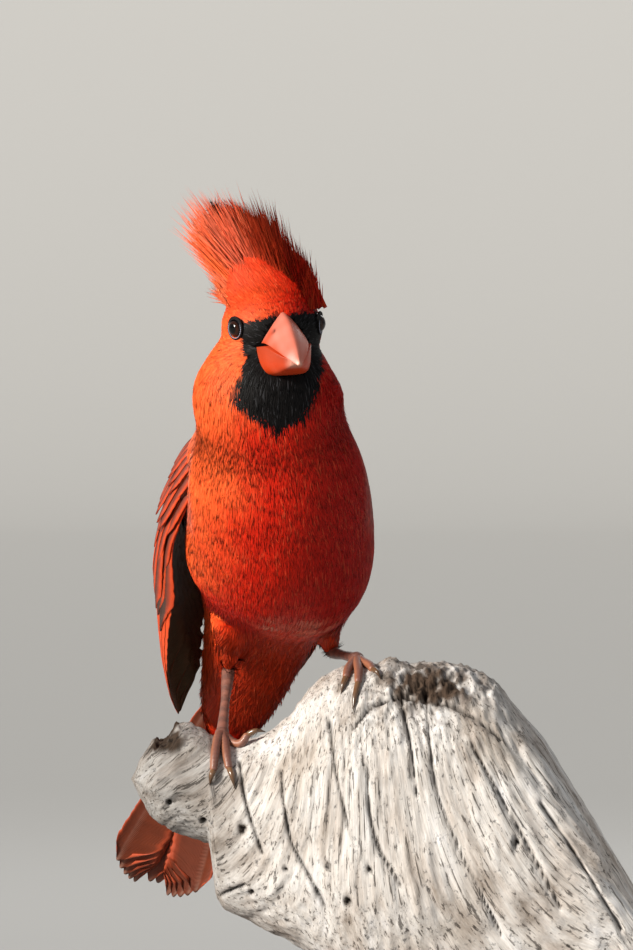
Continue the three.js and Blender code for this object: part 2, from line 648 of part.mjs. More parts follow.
// Assembly
const bird = new THREE.Group();
const nodes = new Map();

function addNode(name, solid, material) {
  const kept = largest(solid);
  const mesh = kept.getMesh();
  const geometry = new THREE.BufferGeometry();
  const places = new Float32Array(mesh.numVert * 3);
  for (let i = 0; i < mesh.numVert; i++) {
    places.set(mesh.vertProperties.subarray(i * mesh.numProp, i * mesh.numProp + 3), i * 3);
  }
  geometry.setAttribute("position", new THREE.BufferAttribute(places, 3));
  geometry.setIndex(new THREE.BufferAttribute(mesh.triVerts, 1));
  geometry.computeVertexNormals();
  const made = new THREE.Mesh(geometry, material);
  made.name = name;
  bird.add(made);
  nodes.set(name, kept);
}

const legs = [
  { leg: LEG_RIGHT, toes: TOES_RIGHT, name: "right" },
  { leg: LEG_LEFT, toes: TOES_LEFT, name: "left" },
];
const trunkGrown = trunk(GAP);
const skullGrown = skull(GAP);
const eyes = [-1, 1];

// The head ends on a plane under the cheeks, the neck on one over the shoulders, the torso at the coverts.
const neckTop = { at: point(-2.8, -37, 200.5), normal: point(0.02, 0.12, -0.99) };
const neckFoot = { at: trunkFrame(0.33).at, normal: trunkFrame(0.33).tangent };
const tailCut = { at: trunkFrame(0.86).at, normal: trunkFrame(0.86).tangent };
const [headPart, belowHead] = parted(trunk().add(skull()), neckTop.at, neckTop.normal);
const [neckPart, belowNeck] = parted(belowHead, neckFoot.at, neckFoot.normal);
const [torsoPart, coverts] = parted(belowNeck, tailCut.at, tailCut.normal);

const billGrown = [billHalf(BILL_UPPER, 1, GAP), billHalf(BILL_LOWER, -1, GAP)];
const headWithLids = join([headPart, ...eyes.map(lids)]);
addNode("head", cut(headWithLids, ...eyes.map((s) => eyeball(s, GAP)), ...billGrown), PLUMAGE);
addNode("neck", neckPart, PLUMAGE);
addNode("torso", torsoPart, PLUMAGE);
addNode("crest", cut(join([crestCore(), ...crestFeathers()]), skullGrown, trunkGrown), PLUMAGE);
addNode("bill_upper", cut(billHalf(BILL_UPPER, 1), ...eyes.map(nostril)), BILL_HORN);
addNode("bill_lower", cut(billHalf(BILL_LOWER, -1), billGrown[0]), BILL_HORN);
addNode("eye_right", eyeball(-1), EYE_GLOSS);
addNode("eye_left", eyeball(1), EYE_GLOSS);

const tailFace = tailCut.at.clone().addScaledVector(tailCut.normal, GAP / 2);
const tailBeforeCut = beyond(tailFace, tailCut.normal.clone().negate());
const tail = join([coverts, ...tailFeathers().map((f) => cut(f, tailBeforeCut))]);
addNode("tail", tail, WING_PLUMAGE);

addNode("wing_right", cut(wing(WING_RIGHT), trunkGrown), WING_PLUMAGE);
addNode("wing_left", cut(wing(WING_LEFT), trunkGrown), WING_PLUMAGE);

let perch = perchBody();
for (const { leg, toes, name } of legs) {
  const shankGrown = shank(leg, GAP);
  addNode("thigh_" + name, cut(thigh(leg), trunkGrown, shankGrown), PLUMAGE);
  addNode("shank_" + name, cut(shank(leg), foot(leg, toes, GAP), trunkGrown), LEG_SKIN);
  addNode("foot_" + name, foot(leg, toes), LEG_SKIN);
  toes.forEach((t, k) => {
    addNode("claw_" + name + "_" + (k + 1), cut(claw(t), foot(leg, toes, GAP)), CLAW_HORN);
    perch = perch.subtract(claw(t, FOOT_GAP));
  });
  perch = perch.subtract(foot(leg, toes, FOOT_GAP));
}
addNode("perch", perch, GREY_WOOD);
addNode("stand_base", standBase(), BASE_WOOD);
ROD.places.forEach((place, k) => addNode("stand_rod_" + (k + 1), standRod(place), STEEL));

// The base's middle is the model's origin.
bird.position.set(-BASE.x, -BASE.y, 0);
const model = new THREE.Group();
model.add(bird);

export default model;
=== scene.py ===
"""The looks of a life-size male northern cardinal on the broken end of a weathered limb."""

import math

import bpy
import numpy as np
from mathutils import Matrix, Vector
from mathutils.bvhtree import BVHTree
from mathutils.kdtree import KDTree


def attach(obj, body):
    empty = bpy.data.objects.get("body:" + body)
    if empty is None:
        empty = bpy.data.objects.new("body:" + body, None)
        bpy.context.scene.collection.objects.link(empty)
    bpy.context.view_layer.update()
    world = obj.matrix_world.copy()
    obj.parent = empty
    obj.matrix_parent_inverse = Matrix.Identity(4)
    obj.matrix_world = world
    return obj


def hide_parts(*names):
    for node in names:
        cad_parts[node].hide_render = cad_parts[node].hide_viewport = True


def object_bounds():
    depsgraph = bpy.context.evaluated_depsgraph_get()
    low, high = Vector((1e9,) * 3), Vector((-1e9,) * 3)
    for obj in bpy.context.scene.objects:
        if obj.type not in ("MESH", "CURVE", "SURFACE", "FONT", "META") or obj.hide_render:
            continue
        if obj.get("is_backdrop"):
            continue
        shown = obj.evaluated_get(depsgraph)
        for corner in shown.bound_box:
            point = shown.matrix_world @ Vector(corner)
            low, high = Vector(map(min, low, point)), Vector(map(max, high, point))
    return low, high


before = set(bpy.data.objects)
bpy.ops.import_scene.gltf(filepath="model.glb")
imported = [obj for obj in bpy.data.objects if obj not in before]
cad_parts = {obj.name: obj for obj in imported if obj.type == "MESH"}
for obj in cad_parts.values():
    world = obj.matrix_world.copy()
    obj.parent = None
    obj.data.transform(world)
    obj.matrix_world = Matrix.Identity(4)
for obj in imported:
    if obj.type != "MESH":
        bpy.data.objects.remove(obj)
CAD_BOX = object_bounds()
COAT = 0.5  # depth of the body feathers over the skin, mm
BASE_AT = np.array([32.0, 13.0, 0.0])  # the part's origin, from the point below the breast, mm
MOST_TRIANGLES = 190000  # in one piece of the coat


# Numbers


def srgb(text):
    """The linear colour of #rrggbb."""
    c = np.array([int(text[i : i + 2], 16) / 255 for i in (1, 3, 5)])
    return np.where(c <= 0.04045, c / 12.92, ((c + 0.055) / 1.055) ** 2.4)


def through(values, t):
    """The value at t, from 0 to 1, on a smooth curve through evenly spaced values."""
    v = np.asarray(values, float)
    x = np.clip(t, 0, 1) * (len(v) - 1)
    i = np.minimum(np.floor(x).astype(int), len(v) - 2)
    a, b, c, d = (v[np.clip(i + k, 0, len(v) - 1)] for k in (-1, 0, 1, 2))
    f = x - i
    return b + 0.5 * f * (c - a + f * (2 * a - 5 * b + 4 * c - d + f * (3 * (b - c) + d - a)))


def smooth(x, low, high):
    t = np.clip((x - low) / (high - low), 0, 1)
    return t * t * (3 - 2 * t)


def unit(v):
    return v / np.maximum(np.linalg.norm(v, axis=-1, keepdims=True), 1e-9)


def mix(a, b, t):
    return a + (b - a) * t


def wobble(p, scale, seed=0):
    """Smooth repeatable noise from -1 to 1 at places p, by a sum of turned waves."""
    r = np.random.default_rng(seed)
    total = np.zeros(p.shape[:-1])
    for k in range(9):
        axis = unit(r.normal(size=3))
        total += np.sin(p @ axis * (2 * math.pi / scale) * r.uniform(0.5, 1.6) + r.uniform(0, 6.3))
    return total / 4.5


# Meshes


def mesh_object(name, verts, tris=None, quads=None, tint=None, bake=None, floats=None, lie=None,
    material=None):
    """An object from arrays: places in mm, faces, colours, the coat's patches and its shading directions."""
    tris = np.empty((0, 3), np.int32) if tris is None else np.asarray(tris, np.int32)
    quads = np.empty((0, 4), np.int32) if quads is None else np.asarray(quads, np.int32)
    loops = np.concatenate([tris.ravel(), quads.ravel()])
    starts = np.concatenate([np.arange(len(tris)) * 3, len(tris) * 3 + np.arange(len(quads)) * 4])
    me = bpy.data.meshes.new(name)
    me.vertices.add(len(verts))
    me.vertices.foreach_set("co", ((verts - BASE_AT) * 0.001).astype("f").ravel())
    me.loops.add(len(loops))
    me.loops.foreach_set("vertex_index", loops.astype("i"))
    me.polygons.add(len(starts))
    me.polygons.foreach_set("loop_start", starts.astype("i"))
    me.update(calc_edges=True)
    me.validate()
    me.polygons.foreach_set("use_smooth", np.ones(len(me.polygons), bool))
    if tint is not None:
        layer = me.attributes.new("tint", "FLOAT_COLOR", "POINT")
        rgba = np.ones((len(verts), 4), "f")
        rgba[:, :3] = np.clip(tint, 0, 1.4)
        layer.data.foreach_set("color", rgba.ravel())
    for key, values in (floats or {}).items():
        me.attributes.new(key, "FLOAT", "POINT").data.foreach_set("value", values.astype("f").ravel())
    if lie is not None:
        me.attributes.new("lie", "FLOAT_VECTOR", "POINT").data.foreach_set("vector", lie.astype("f").ravel())
    if bake is not None:
        me.uv_layers.new(name="OFBake").data.foreach_set("uv", bake[loops].astype("f").ravel())
    obj = bpy.data.objects.new(name, me)
    bpy.context.scene.collection.objects.link(obj)
    if material:
        me.materials.append(material)
    return obj


def placed(obj, slot, *nodes):
    """Sets a piece on the body and lets it stand for the nodes named, which it hides. slot is not used."""
    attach(obj, "root")
    if nodes:
        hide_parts(*nodes)
    return obj


def capped(values):
    """The values of a closed form's rings, with its two end points taking the first and the last."""
    return np.concatenate([values, values[:1], values[-1:]])


def grid_faces(rows, columns, wrap=False, start=0):
    """Quads of a grid of rows by columns of points; wrap joins each row's ends."""
    r = np.arange(rows - 1)[:, None]
    c = np.arange(columns if wrap else columns - 1)[None, :]
    n = (c + 1) % columns
    quads = np.stack([r * columns + c, r * columns + n, (r + 1) * columns + n, (r + 1) * columns + c], -1)
    return quads.reshape(-1, 4) + start


def spline(points, count):
    """Evenly spaced places on a smooth curve through points."""
    p = np.asarray(points, float)
    dense = np.stack([through(p[:, k], np.linspace(0, 1, 400)) for k in range(3)], -1)
    run = np.concatenate([[0], np.cumsum(np.linalg.norm(np.diff(dense, axis=0), axis=1))])
    at = np.linspace(0, run[-1], count)
    return np.stack([np.interp(at, run, dense[:, k]) for k in range(3)], -1)


# Materials


def material(name, build, rough=0.6, **constants):
    """A node material. build(nodes, links) returns (colour socket, height socket or None, strength)."""
    m = bpy.data.materials.new(name)
    m.use_nodes = True
    nodes, links = m.node_tree.nodes, m.node_tree.links
    bsdf = nodes["Principled BSDF"]
    bsdf.inputs["Roughness"].default_value = rough
    for key, value in constants.items():
        bsdf.inputs[key.replace("_", " ")].default_value = value
    colour, height, strength = build(nodes, links)
    links.new(colour, bsdf.inputs["Base Color"])
    if height is not None:
        bump = nodes.new("ShaderNodeBump")
        bump.inputs["Strength"].default_value = strength
        bump.inputs["Distance"].default_value = 0.0003
        links.new(height, bump.inputs["Height"])
        links.new(bump.outputs["Normal"], bsdf.inputs["Normal"])
    return m


def attribute(nodes, name, output="Color"):
    n = nodes.new("ShaderNodeAttribute")
    n.attribute_name = name
    return n.outputs[output]


def noise_node(nodes, links, scale, detail=4, stretch=None, roughness=0.55):
    tex = nodes.new("ShaderNodeTexNoise")
    tex.inputs["Scale"].default_value = scale
    tex.inputs["Detail"].default_value = detail
    tex.inputs["Roughness"].default_value = roughness
    coords = nodes.new("ShaderNodeTexCoord").outputs["Object"]
    if stretch:
        mapping = nodes.new("ShaderNodeMapping")
        mapping.inputs["Scale"].default_value = stretch
        links.new(coords, mapping.inputs["Vector"])
        coords = mapping.outputs["Vector"]
    links.new(coords, tex.inputs["Vector"])
    return tex.outputs["Fac"]


def math_node(nodes, links, operation, a, b=0.0):
    n = nodes.new("ShaderNodeMath")
    n.operation = operation
    for k, value in enumerate((a, b)):
        if isinstance(value, (int, float)):
            n.inputs[k].default_value = value
        else:
            links.new(value, n.inputs[k])
    return n.outputs[0]


def shade(nodes, links, colour, factor, low, high):
    """A colour made darker or lighter by a factor socket, from low at 0 to high at 1."""
    ramp = nodes.new("ShaderNodeMapRange")
    ramp.inputs["To Min"].default_value = low
    ramp.inputs["To Max"].default_value = high
    links.new(factor, ramp.inputs["Value"])
    scale = nodes.new("ShaderNodeVectorMath")
    scale.operation = "SCALE"
    links.new(colour, scale.inputs[0])
    links.new(ramp.outputs[0], scale.inputs["Scale"])
    return scale.outputs[0]


def ramp_node(nodes, links, factor, stops):
    ramp = nodes.new("ShaderNodeValToRGB")
    elements = ramp.color_ramp.elements
    while len(elements) < len(stops):
        elements.new(0.5)
    for element, (position, colour) in zip(elements, stops):
        element.position = position
        element.color = (*srgb(colour), 1)
    links.new(factor, ramp.inputs["Fac"])
    return ramp.outputs["Color"]


def multiplied(nodes, links, a, b, share):
    """Colour a times colour b, by a share from 0 to 1."""
    n = nodes.new("ShaderNodeMix")
    n.data_type = "RGBA"
    n.blend_type = "MULTIPLY"
    n.inputs[0].default_value = share
    links.new(a, n.inputs[6])
    links.new(b, n.inputs[7])
    return n.outputs[2]


def feather_look(nodes, links):
    """Fine strands, shaded for the most part as the smooth coat that they make up."""
    links.new(attribute(nodes, "lie", "Vector"), nodes["Principled BSDF"].inputs["Normal"])
    tint = attribute(nodes, "tint")
    return shade(nodes, links, tint, noise_node(nodes, links, 700, 2), 0.9, 1.1), None, 0


def vane_look(nodes, links):
    tint = attribute(nodes, "tint")
    barb = attribute(nodes, "barb", "Fac")
    wave = math_node(nodes, links, "SINE", math_node(nodes, links, "MULTIPLY", barb, 2 * math.pi / 0.55))
    fine = math_node(nodes, links, "MULTIPLY_ADD", wave, 0.5)
    fine.node.inputs[2].default_value = 0.5
    lines = shade(nodes, links, tint, fine, 0.78, 1.15)
    return shade(nodes, links, lines, noise_node(nodes, links, 260, 3), 0.75, 1.25), fine, 0.45


def tinted(scale, low, high, strength=0.3, detail=4):
    def build(nodes, links):
        grain = noise_node(nodes, links, scale, detail)
        return shade(nodes, links, attribute(nodes, "tint"), grain, low, high), grain, strength

    return build


def wood_look(nodes, links):
    tint = attribute(nodes, "tint")
    run = attribute(nodes, "across", "Fac")
    coords = nodes.new("ShaderNodeCombineXYZ")
    links.new(run, coords.inputs[0])
    links.new(attribute(nodes, "alongside", "Fac"), coords.inputs[1])
    links.new(attribute(nodes, "inward", "Fac"), coords.inputs[2])

    def grain(scale, squeeze, detail):
        mapping = nodes.new("ShaderNodeMapping")
        mapping.inputs["Scale"].default_value = (1, squeeze, 1)
        links.new(coords.outputs[0], mapping.inputs["Vector"])
        tex = nodes.new("ShaderNodeTexNoise")
        tex.inputs["Scale"].default_value = scale
        tex.inputs["Detail"].default_value = detail
        tex.inputs["Roughness"].default_value = 0.65
        links.new(mapping.outputs[0], tex.inputs["Vector"])
        return tex.outputs["Fac"]

    coarse, fine, specks = grain(0.16, 0.16, 6), grain(2.2, 0.04, 7), grain(0.7, 0.5, 9)
    thread_stops = [(0.39, "#4a423b"), (0.43, "#f4f1ee"), (0.62, "#ffffff")]
    tone_stops = [(0.3, "#9a8f85"), (0.42, "#c9c1ba"), (0.55, "#dedad6"), (0.7, "#efeded")]
    spot_stops = [(0.33, "#4a4d54"), (0.42, "#ffffff"), (0.68, "#ffffff"), (0.8, "#d9b88c")]
    thread = ramp_node(nodes, links, grain(1.3, 0.025, 5), thread_stops)
    streak = shade(nodes, links, ramp_node(nodes, links, coarse, tone_stops), fine, 0.5, 1.5)
    spot = ramp_node(nodes, links, specks, spot_stops)
    colour = multiplied(nodes, links, streak, thread, 0.8)
    colour = multiplied(nodes, links, colour, spot, 0.7)
    colour = multiplied(nodes, links, colour, tint, 1)
    height = math_node(nodes, links, "ADD", fine, math_node(nodes, links, "MULTIPLY", specks, 0.6))
    return colour, height, 0.8


def stained_look(nodes, links):
    grain = noise_node(nodes, links, 30, 6, stretch=(1, 9, 9))
    fine = noise_node(nodes, links, 260, 4, stretch=(0.12, 1, 1))
    tone = ramp_node(nodes, links, grain, [(0.3, "#23160f"), (0.5, "#3a261b"), (0.7, "#513728")])
    return shade(nodes, links, tone, fine, 0.8, 1.2), fine, 0.15


def steel_look(nodes, links):
    fine = noise_node(nodes, links, 400, 3, stretch=(1, 1, 0.05))
    tone = ramp_node(nodes, links, fine, [(0.3, "#a9a9ad"), (0.7, "#c4c4c8")])
    return tone, fine, 0.1


FEATHER = material("feather", feather_look, 0.55, Specular_IOR_Level=0.14)
VANE = material("vane", vane_look, 0.55, Specular_IOR_Level=0.35)
SKIN = material("skin", tinted(500, 0.9, 1.1), 0.9, Specular_IOR_Level=0.05)
HORN = material("bill_horn", tinted(350, 0.88, 1.12, 0.12), 0.38, Specular_IOR_Level=0.4)
LEG = material("leg_skin", tinted(900, 0.7, 1.25, 0.35), 0.45, Coat_Weight=0.1)
CLAW = material("claw_horn", tinted(600, 0.8, 1.2, 0.1), 0.25, Coat_Weight=0.3)
EYE = material("eye_gloss", tinted(1500, 0.85, 1.15, 0), 0.05, Specular_IOR_Level=0.35)
LID = material("lid_skin", tinted(1500, 0.75, 1.2, 0.2), 0.6, Specular_IOR_Level=0.2)
WOOD = material("grey_wood", wood_look, 0.88, Specular_IOR_Level=0.2)
STAINED = material("base_wood", stained_look, 0.4, Coat_Weight=0.2)
STEEL = material("rod_steel", steel_look, 0.32, Metallic=1.0)


# Forms of the body

TRUNK = {
    "x": [-2.6, -3, -3.2, -2, -0.6, 0.6, -0.2, -4.6, -8.6, -12.4, -16],
    "y": [-38, -37.5, -36.5, -32, -24, -12, 1.5, 15, 28, 39, 47.5],
    "z": [213, 205, 196, 185, 172, 157, 142, 127.5, 113, 101, 91],
    "wide": [13, 18.2, 22.6, 22.2, 26.4, 28.2, 27.8, 18.5, 14.6, 11.4, 7],
    "front": [10, 14.5, 17.5, 19.5, 24.5, 27.5, 24.5, 12, 7.5, 5, 3],
    "behind": [14, 18.5, 19.5, 19.5, 21, 23, 22.5, 19, 13, 8, 4],
}
SKULL = {"x": 15.4, "front": 15, "behind": 16.5, "up": 13.2, "down": 15.5, "middle": 1.5}
HEAD_AT, HEAD_YAW, HEAD_PITCH, HEAD_ROLL = (-1.3, -38.5, 214), 16, 13, 3.3
EYE_AT, EYE_RADIUS = (11.8, 4.1, 2.1), 3.1


def spine(t):
    return np.stack([through(TRUNK[k], t) for k in "xyz"], -1)


def spine_frame(t):
    t = np.asarray(t, float)
    tangent = unit(spine(np.minimum(1, t + 0.02)) - spine(np.maximum(0, t - 0.02)))
    back = unit(np.array([0, 1.0, 0]) - tangent[..., 1:2] * tangent)
    return spine(t), tangent, back, unit(np.cross(back, tangent))


def turned(axis, degrees):
    return np.array(Matrix.Rotation(math.radians(degrees), 3, axis))


HEAD_TURN = turned("Z", HEAD_YAW) @ turned("X", HEAD_PITCH) @ turned("Y", -HEAD_ROLL)


def on_head(p):
    return np.asarray(p, float) @ HEAD_TURN.T + np.array(HEAD_AT)


def in_head(p):
    return (np.asarray(p) - np.array(HEAD_AT)) @ HEAD_TURN


def closed(points, start, end, offset=0):
    """Faces that close rows of rings, with a point at each end."""
    rows, around = points.shape[:2]
    verts = np.concatenate([points.reshape(-1, 3), [start, end]])
    k = np.arange(around)
    n = (k + 1) % around
    a, b = rows * around, rows * around + 1
    last = (rows - 1) * around
    first_fan = np.stack([np.full(around, a), n, k], -1)
    last_fan = np.stack([np.full(around, b), last + k, last + n], -1)
    tris = np.concatenate([first_fan, last_fan])
    return verts, tris + offset, grid_faces(rows, around, wrap=True, start=offset)


def trunk_form():
    t = (1 - np.cos(np.linspace(0.12, np.pi - 0.1, 70))) / 2
    angle = np.linspace(0, 2 * np.pi, 72, endpoint=False)
    at, tangent, back, left = spine_frame(t)
    wide, front, behind = (through(TRUNK[k], t)[:, None] for k in ("wide", "front", "behind"))
    depth = np.where(np.sin(angle)[None] > 0, behind, front)
    p = at[:, None] + left[:, None] * (wide * np.cos(angle))[..., None]
    p = p + back[:, None] * (depth * np.sin(angle))[..., None]
    return closed(p, at[0] - tangent[0] * 5, at[-1] + tangent[-1] * 4)


def skull_form():
    t = np.linspace(0.06, 0.94, 40)
    angle = np.linspace(0, 2 * np.pi, 60, endpoint=False)
    y = np.cos(np.pi * t)
    ring = np.sin(np.pi * t)
    depth = np.where(y > 0, SKULL["behind"], SKULL["front"])
    height = np.where(np.sin(angle) > 0, SKULL["up"], SKULL["down"])
    cheek = np.where(y < 0, 1 - 0.1 * y * y, 1)
    x = (SKULL["x"] * cheek * ring)[:, None] * np.cos(angle)
    z = height[None] * ring[:, None] * np.sin(angle)
    p = on_head(np.stack([x, np.broadcast_to((SKULL["middle"] + depth * y)[:, None], x.shape), z], -1))
    ends = on_head([[0, SKULL["middle"] + SKULL["behind"], 0], [0, SKULL["middle"] - SKULL["front"], 0]])
    return closed(p, ends[0], ends[1])


CREST_CORE = {
    "x": [-2, -2.4, -4, -5.8, -8.2, -11.6, -14.6],
    "y": [-36, -35, -33.5, -31.5, -29.5, -27, -25.5],
    "z": [217, 222.5, 228, 233.5, 238.5, 243, 246.5],
    "wide": [12, 13.2, 12.4, 11.2, 9.4, 7.2, 4.4],
    "deep": [13, 13, 11.5, 9.5, 7.3, 5, 2.8],
}


def crest_core_form():
    t = (1 - np.cos(np.linspace(0.2, np.pi - 0.1, 30))) / 2
    angle = np.linspace(0, 2 * np.pi, 40, endpoint=False)
    at = np.stack([through(CREST_CORE[k], t) for k in "xyz"], -1)
    wide = through(CREST_CORE["wide"], t)[:, None] * np.cos(angle)
    deep = through(CREST_CORE["deep"], t)[:, None] * np.sin(angle)
    p = at[:, None] + np.stack([wide * 0.97, deep, 0.3 * wide + 0.3 * deep], -1)
    return closed(p[::-1], at[-1] + [-2, 0.5, 2], at[0])


LEGS = {
    "right": {
        "knee": (-12.5, -2, 134), "ankle": (-15, 15, 110.8), "hub": (-16.8, -2, 92.3), "thigh": (8.5, 7,
            3.9, 2.3),
    },
    "left": {
        "knee": (14.5, -4, 137), "ankle": (15.6, 18.5, 116.4), "hub": (23.7, -4.5, 114.9), "thigh": (9,
            6.6, 3.9, 3),
    },
}


def limb_form(points, radii, around=24, rows=60, ripple=None, axis=(1, 0, 0)):
    """A tapering limb with rounded ends: its mesh, and how far along it each row is."""
    p = spline(points, rows)
    s = np.linspace(0, 1, rows)
    length = np.linalg.norm(np.diff(p, axis=0), axis=1).sum()
    r = through(radii, s)
    end = np.minimum(s, 1 - s) * length
    r = r * np.where(end < r, np.sqrt(np.maximum(0.001, 1 - (1 - end / r) ** 2)), 1)
    angle = np.linspace(0, 2 * np.pi, around, endpoint=False)
    tangent = unit(np.gradient(p, axis=0))
    a = unit(np.cross(tangent, np.array(axis, float)))
    b = np.cross(a, tangent)
    rr = np.broadcast_to(r[:, None], (rows, around)).copy()
    if ripple is not None:
        rr = rr * ripple(s[:, None] * length, angle[None, :])
    around_it = np.cos(angle)[None, :, None] * a[:, None] + np.sin(angle)[None, :, None] * b[:, None]
    pts = p[:, None] + rr[..., None] * around_it
    verts, tris, quads = closed(pts, p[0], p[-1])
    return verts, tris, quads, s


def thigh_form(leg):
    knee, ankle = np.array(leg["knee"], float), np.array(leg["ankle"], float)
    verts, tris, quads, _ = limb_form([mix(knee, ankle, s) for s in (0, 0.45, 0.8, 1)], leg["thigh"], 28, 40)
    return verts, tris, quads


def shoulder_form(wing):
    """The rounded front of a folded wing, under its small coverts."""
    place = wing_map(wing)
    t = (1 - np.cos(np.linspace(0.15, np.pi - 0.1, 40))) / 2
    angle = np.linspace(0, 2 * np.pi, 44, endpoint=False)[None, :]
    full = np.sqrt(np.clip(1 - (2 * t - 1) ** 2, 0, 1))[:, None]
    u = mix(-14, 32, t)[:, None] + 0 * angle
    v = 11.5 + 4 * t[:, None] + 12.5 * full * np.cos(angle)
    w = mix(2.2, 2.4, t)[:, None] + mix(4.2, 2.6, t)[:, None] * full * np.sin(angle)
    ends = place([-14, 32], [11.5, 15.5], [2.2, 2.4])
    verts, tris, quads = closed(place(u, v, w), ends[0], ends[1])
    return (verts, tris, quads) if wing["side"] < 0 else (verts, tris[:, ::-1], quads[:, ::-1])


def joined(parts):
    """Several forms as one set of arrays."""
    verts, tris, quads, at = [], [], [], 0
    for v, t, q in parts:
        verts.append(v)
        tris.append(np.asarray(t).reshape(-1, 3) + at)
        quads.append(np.asarray(q).reshape(-1, 4) + at)
        at += len(v)
    return np.concatenate(verts), np.concatenate(tris), np.concatenate(quads)


def arrays_of(obj):
    me = obj.data
    co = np.empty(len(me.vertices) * 3, "f")
    me.vertices.foreach_get("co", co)
    normals = np.empty(len(me.vertices) * 3, "f")
    me.vertices.foreach_get("normal", normals)
    return co.reshape(-1, 3) * 1000.0 + BASE_AT, normals.reshape(-1, 3).astype(float)


def make_skin():
    parts = [trunk_form(), skull_form(), crest_core_form(), *[thigh_form(leg) for leg in LEGS.values()]]
    parts += [shoulder_form(wing) for wing in WINGS.values()]
    obj = mesh_object("skin", *joined(parts), material=SKIN)
    remesh = obj.modifiers.new("remesh", "REMESH")
    remesh.mode = "VOXEL"
    remesh.voxel_size = 0.0009
    even = obj.modifiers.new("even", "SMOOTH")
    even.iterations = 6
    even.factor = 0.5
    depsgraph = bpy.context.evaluated_depsgraph_get()
    baked = bpy.data.meshes.new_from_object(obj.evaluated_get(depsgraph))
    obj.modifiers.clear()
    obj.data = baked
    obj.name = "skin"
    places, normals = arrays_of(obj)
    # Thinner over the face, where the feathers are short.
    local = in_head(places)
    face = smooth(-local[:, 1], 4, 12) * smooth(places[:, 2], 198, 206)
    inner = places - normals * mix(COAT, 0.35, face)[:, None]
    obj.data.vertices.foreach_set("co", ((inner - BASE_AT) * 0.001).astype("f").ravel())
    obj.data.polygons.foreach_set("use_smooth", np.ones(len(obj.data.polygons), bool))
    obj.data.materials.clear()
    obj.data.materials.append(SKIN)
    obj.data.update()
    return obj, places, inner, normals


# Colours of the plumage, in linear light

RED = srgb("#d8240a")
DEEP_RED = srgb("#b00f05")
ORANGE = srgb("#ff6c32")
BLACK = srgb("#070505")
PALE = srgb("#e9b49c")
GREY_PINK_AND_SHEEN = srgb("#a5908c")
DUSK = srgb("#3d2a24")
LIT = unit(np.array([-0.83, -0.45, 0.32]))  # the picture's light, painted in: orange this way, dark red away

# The black of the face: its edges to the bird's right and left by height, and its top edge.
MASK_Z = [180, 182.2, 184, 186.1, 189.1, 190.9, 192.4, 193.9, 196.6, 199.6, 202.6, 205.6, 208.3, 210.4, 220]
MASK_RIGHT = [1, 0, -4.2, -8.4, -11.4, -13.5, -14.1, -13.5, -12.7, -11.4, -10.7, -10.4, -11.7, -11.6, -11.4]
MASK_LEFT = [-1, 0.6, 4.1, 8.7, 11.6, 12, 12.2, 12.5, 13, 13.6, 13.6, 13.6, 13.6, 13.8, 14]
MASK_TOP = ([-11.4, -9.3, -4.8, -2.4, 2.4, 9.6, 13.2], [216.4, 216.8, 217.6, 218.9, 219.3, 219.6, 218.8])


def mask_amount(places):
    """How far a place is in the black of the face: 1 inside, 0 outside."""
    x, y, z = places.T
    ragged = 0.7 * wobble(places * np.array([1, 1, 0.3]), 3.2, 12)
    inside = np.minimum(x - np.interp(z, MASK_Z, MASK_RIGHT), np.interp(z, MASK_Z, MASK_LEFT) - x)
    inside = np.minimum(inside, np.interp(x, *MASK_TOP) - z) + ragged
    ahead = np.where(z > 200, -in_head(places)[:, 1] - 3.5, -y - 42)
    return smooth(np.minimum(inside, ahead + 0.5 * ragged), -0.4, 0.5)


def coat_colour(places, normals, seed=3):
    """The colour of the body feathers at each place, with part of the picture's light and shade in it."""
    streak = wobble(places * np.array([1, 1, 0.3]), 6, seed)
    patch = wobble(places, 26, seed + 1)
    x, y, z = places.T
    facing = normals @ LIT
    lit = smooth(facing + 0.05 * patch + 0.06 * streak + 0.22 * smooth(z, 168, 198), 0.4, 1.0)
    lit = lit * (1 - 0.5 * smooth(z, 214, 222))
    colour = mix(mix(DEEP_RED, RED, smooth(facing + 0.1 * patch, -0.5, 0.35)[:, None]), ORANGE, lit[:, None])
    back = smooth(normals[:, 1], 0.1, 0.7) * (1 - smooth(z, 205, 222))
    colour = mix(colour, mix(DEEP_RED, DUSK, 0.45), back[:, None] * 0.75)
    # Oranger low on the belly, as the picture shows it lit, with a pale, downy band at the vent.
    under = (1 - smooth(z, 118, 126)) * smooth(z, 88, 96) * smooth(-normals[:, 1], -0.3, 0.3)
    colour = mix(colour, srgb("#e5481c"), 0.75 * under[:, None])
    band = np.exp(-(((z - 123.5 + 0.1 * x) / 2.6) ** 2)) * smooth(-normals[:, 1], 0, 0.5) * smooth(x, -9, -2)
    colour = mix(colour, PALE, np.clip(band * (0.2 + 0.5 * streak), 0, 0.6)[:, None])
    # The scapulars over the folded wings are greyer: partly their own grey, partly a painted sheen.
    scapular_grey_and_sheen = smooth(np.abs(x + 1), 18, 22) * smooth(z, 150, 160)
    scapular_grey_and_sheen = scapular_grey_and_sheen * (1 - smooth(z, 183, 189)) * smooth(y, -27, -20)
    colour = mix(colour, GREY_PINK_AND_SHEEN, np.clip(scapular_grey_and_sheen * (0.4 + 0.5 * streak), 0, 0.75)[:, None])
    crown = smooth(z, 222, 236)
    colour = mix(colour, RED, 0.3 * crown[:, None])
    return mix(colour, BLACK, mask_amount(places)[:, None])


# Body feathers


